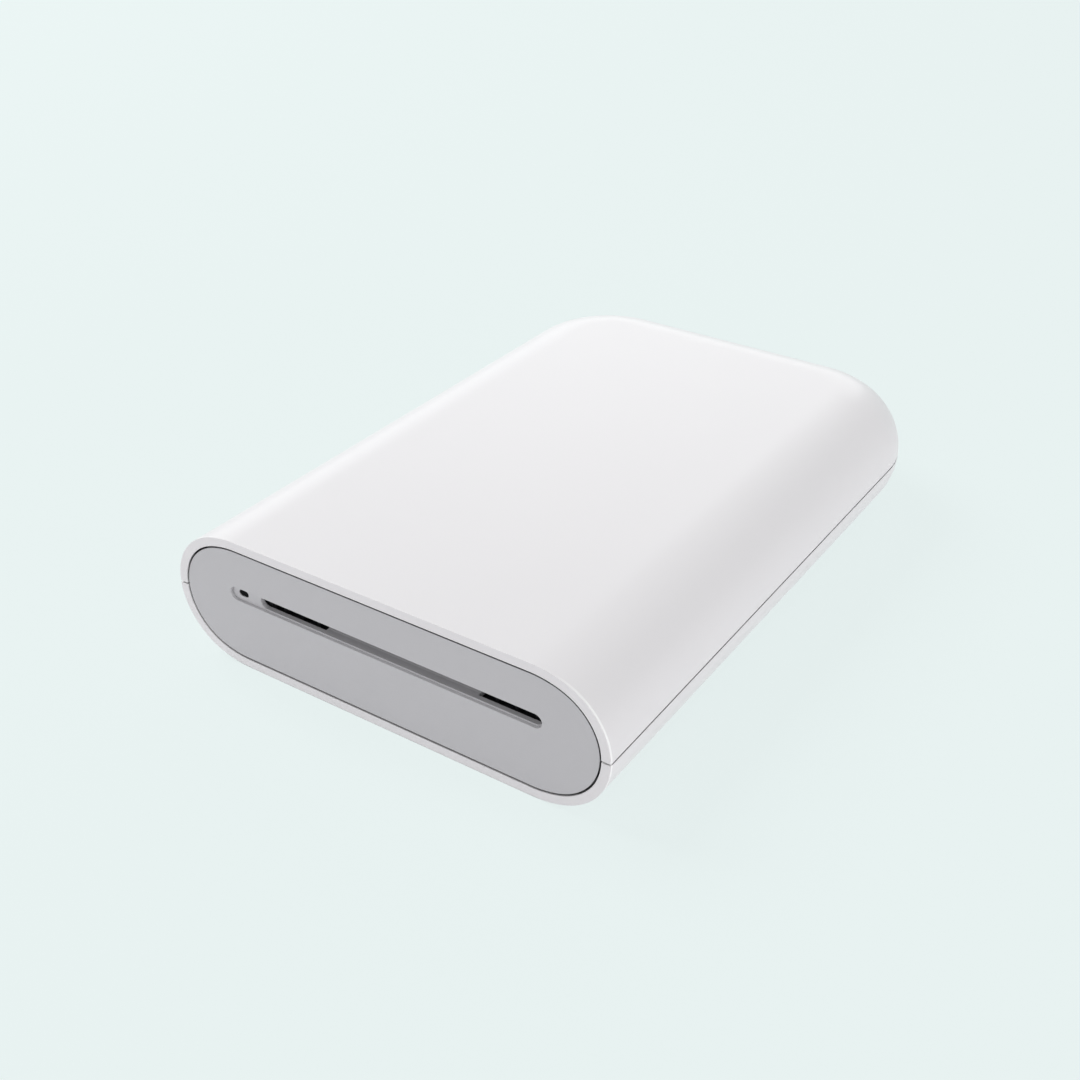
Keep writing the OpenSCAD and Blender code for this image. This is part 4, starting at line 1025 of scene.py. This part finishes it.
def direction(turn, rise):
    """Unit vector from the case: turn goes round it from the front towards the right and rise
    above the table, both in radians: (sin t cos r, -cos t cos r, sin r)."""
    level = math.cos(rise)
    return np.array([math.sin(turn) * level, -math.cos(turn) * level, math.sin(rise)])


def aim():
    """Camera matrix. Its axes are back = the direction it stands in, right = z x back and
    up = back x right, with right and up then turned by the roll."""
    back = direction(AZIMUTH, ELEVATION)
    right = np.cross([0, 0, 1], back)
    right /= np.linalg.norm(right)
    up = np.cross(back, right)
    cos, sin = math.cos(ROLL), math.sin(ROLL)
    matrix = np.eye(4)
    matrix[:3, 0], matrix[:3, 1] = right * cos + up * sin, up * cos - right * sin
    matrix[:3, 2] = back
    matrix[:3, 3] = (np.array([0, 0, MID]) + back * DISTANCE) * MM
    return matrix


lens = bpy.data.cameras.new("camera")
lens.sensor_width, lens.lens = SENSOR, FOCAL / IMAGE * SENSOR
lens.shift_x, lens.shift_y = 0.5 - CENTRE_PX[0] / IMAGE, CENTRE_PX[1] / IMAGE - 0.5
lens.clip_start, lens.clip_end = 0.01, 20
camera = bpy.data.objects.new("camera", lens)
bpy.context.scene.collection.objects.link(camera)
camera.matrix_world = Matrix(aim().tolist())
bpy.context.scene.camera = camera
print("lens", round(lens.lens, 2), "mm, shift", round(lens.shift_x, 4), round(lens.shift_y, 4))

# %% [markdown]
# ## Studio
# The floor and the room are a pale mint. For the camera, and in gloss and glass, they show that
# mint as it is written; the light itself comes from broad soft lamps and a neutral sky. The
# floor mixes some of its lit self in, so the object's shadow stays. A low strip on the right
# lights the lower flank, and a card at the rear left gives that side its light edge.

# %% Floor, room and lamps
MINT = screen(233, 243, 242)
FLOOR_HALF, FLOOR_GLOW, FLOOR_LIT, SKY_LEVEL, REACH = 1.5, 0.88, 0.12, 0.345, 1.15
LAMPS = {
    # Name: turn and rise in degrees, width and height in metres, watts.
    "front_softbox": (0, 26, (2.2, 1.0), 4.9),
    "right_strip": (84, 6, (0.6, 0.2), 3.6),
    "right_softbox": (90, 45, (0.6, 0.6), 1.3),
    "left_softbox": (270, 45, (0.6, 0.6), 6.8),
    "rear_left_card": (215, 19, (1.3, 0.62), 2.5),
    "rear_softbox": (180, 26, (1.6, 0.9), 0.9),
}


def seen_directly(owner):
    """1 for camera, glossy and transmitted rays, else 0."""
    rays = add(owner, "LightPath").outputs
    total = rays["Is Camera Ray"]
    for name in ("Is Glossy Ray", "Is Transmission Ray"):
        total = calculate(owner, "MAXIMUM", total, rays[name])
    return total


def show_either(owner, usual, direct, target):
    """Feeds a target with one shader for the light and another for what is seen directly."""
    choose = add(owner, "MixShader")
    for source, place_in in zip((seen_directly(owner), usual, direct), choose.inputs):
        link(owner, source, place_in)
    link(owner, choose.outputs[0], target.inputs["Surface"])


def make_floor():
    """A square under the object: part lit surface, part plain mint."""
    corners = [(x * FLOOR_HALF, y * FLOOR_HALF, 0) for x, y in ((-1, -1), (1, -1), (1, 1), (-1, 1))]
    mesh = bpy.data.meshes.new("floor")
    mesh.from_pydata(corners, [], [(0, 1, 2, 3)])
    floor = bpy.data.objects.new("floor", mesh)
    bpy.context.scene.collection.objects.link(floor)
    material = bpy.data.materials.new("pale_floor")
    material.use_nodes = True
    material.node_tree.nodes.clear()
    lit = add(material, "BsdfDiffuse", Color=screen(240, 240, 242))
    plain = add(material, "Emission", Color=MINT, Strength=FLOOR_GLOW)
    shade = add(material, "BsdfDiffuse", Color=scaled(MINT, FLOOR_LIT))
    both = add(material, "AddShader")
    link(material, plain.outputs[0], both.inputs[0])
    link(material, shade.outputs[0], both.inputs[1])
    show_either(material, lit.outputs[0], both.outputs[0], add(material, "OutputMaterial"))
    mesh.materials.append(material)


def make_room():
    """A sky that lights with neutral white and shows mint to the camera."""
    world = bpy.data.worlds.new("room")
    bpy.context.scene.world = world
    world.use_nodes = True
    world.node_tree.nodes.clear()
    sky = add(world, "Background", Color=(1, 1, 1, 1), Strength=SKY_LEVEL)
    wall = add(world, "Background", Color=MINT)
    show_either(world, sky.outputs[0], wall.outputs[0], add(world, "OutputWorld"))


def softbox(name, turn, rise, size, watts):
    """A broad lamp, width by height in metres, that faces the middle of the case from REACH away.
    turn is its angle round the case from the front towards the right and rise its angle above the
    table, both in degrees."""
    towards = Vector(direction(math.radians(turn), math.radians(rise)))
    lamp = bpy.data.lights.new(name, "AREA")
    lamp.shape, lamp.energy = "RECTANGLE", watts
    lamp.size, lamp.size_y = size
    holder = bpy.data.objects.new(name, lamp)
    bpy.context.scene.collection.objects.link(holder)
    holder.location = towards * REACH + Vector((0, 0, MID * MM))
    holder.rotation_euler = towards.to_track_quat("Z", "Y").to_euler()


make_floor()
make_room()
for name, setting in LAMPS.items():
    softbox(name, *setting)
bpy.context.scene.view_settings.view_transform = "Standard"
print("floor, room and", len(LAMPS), "lamps")
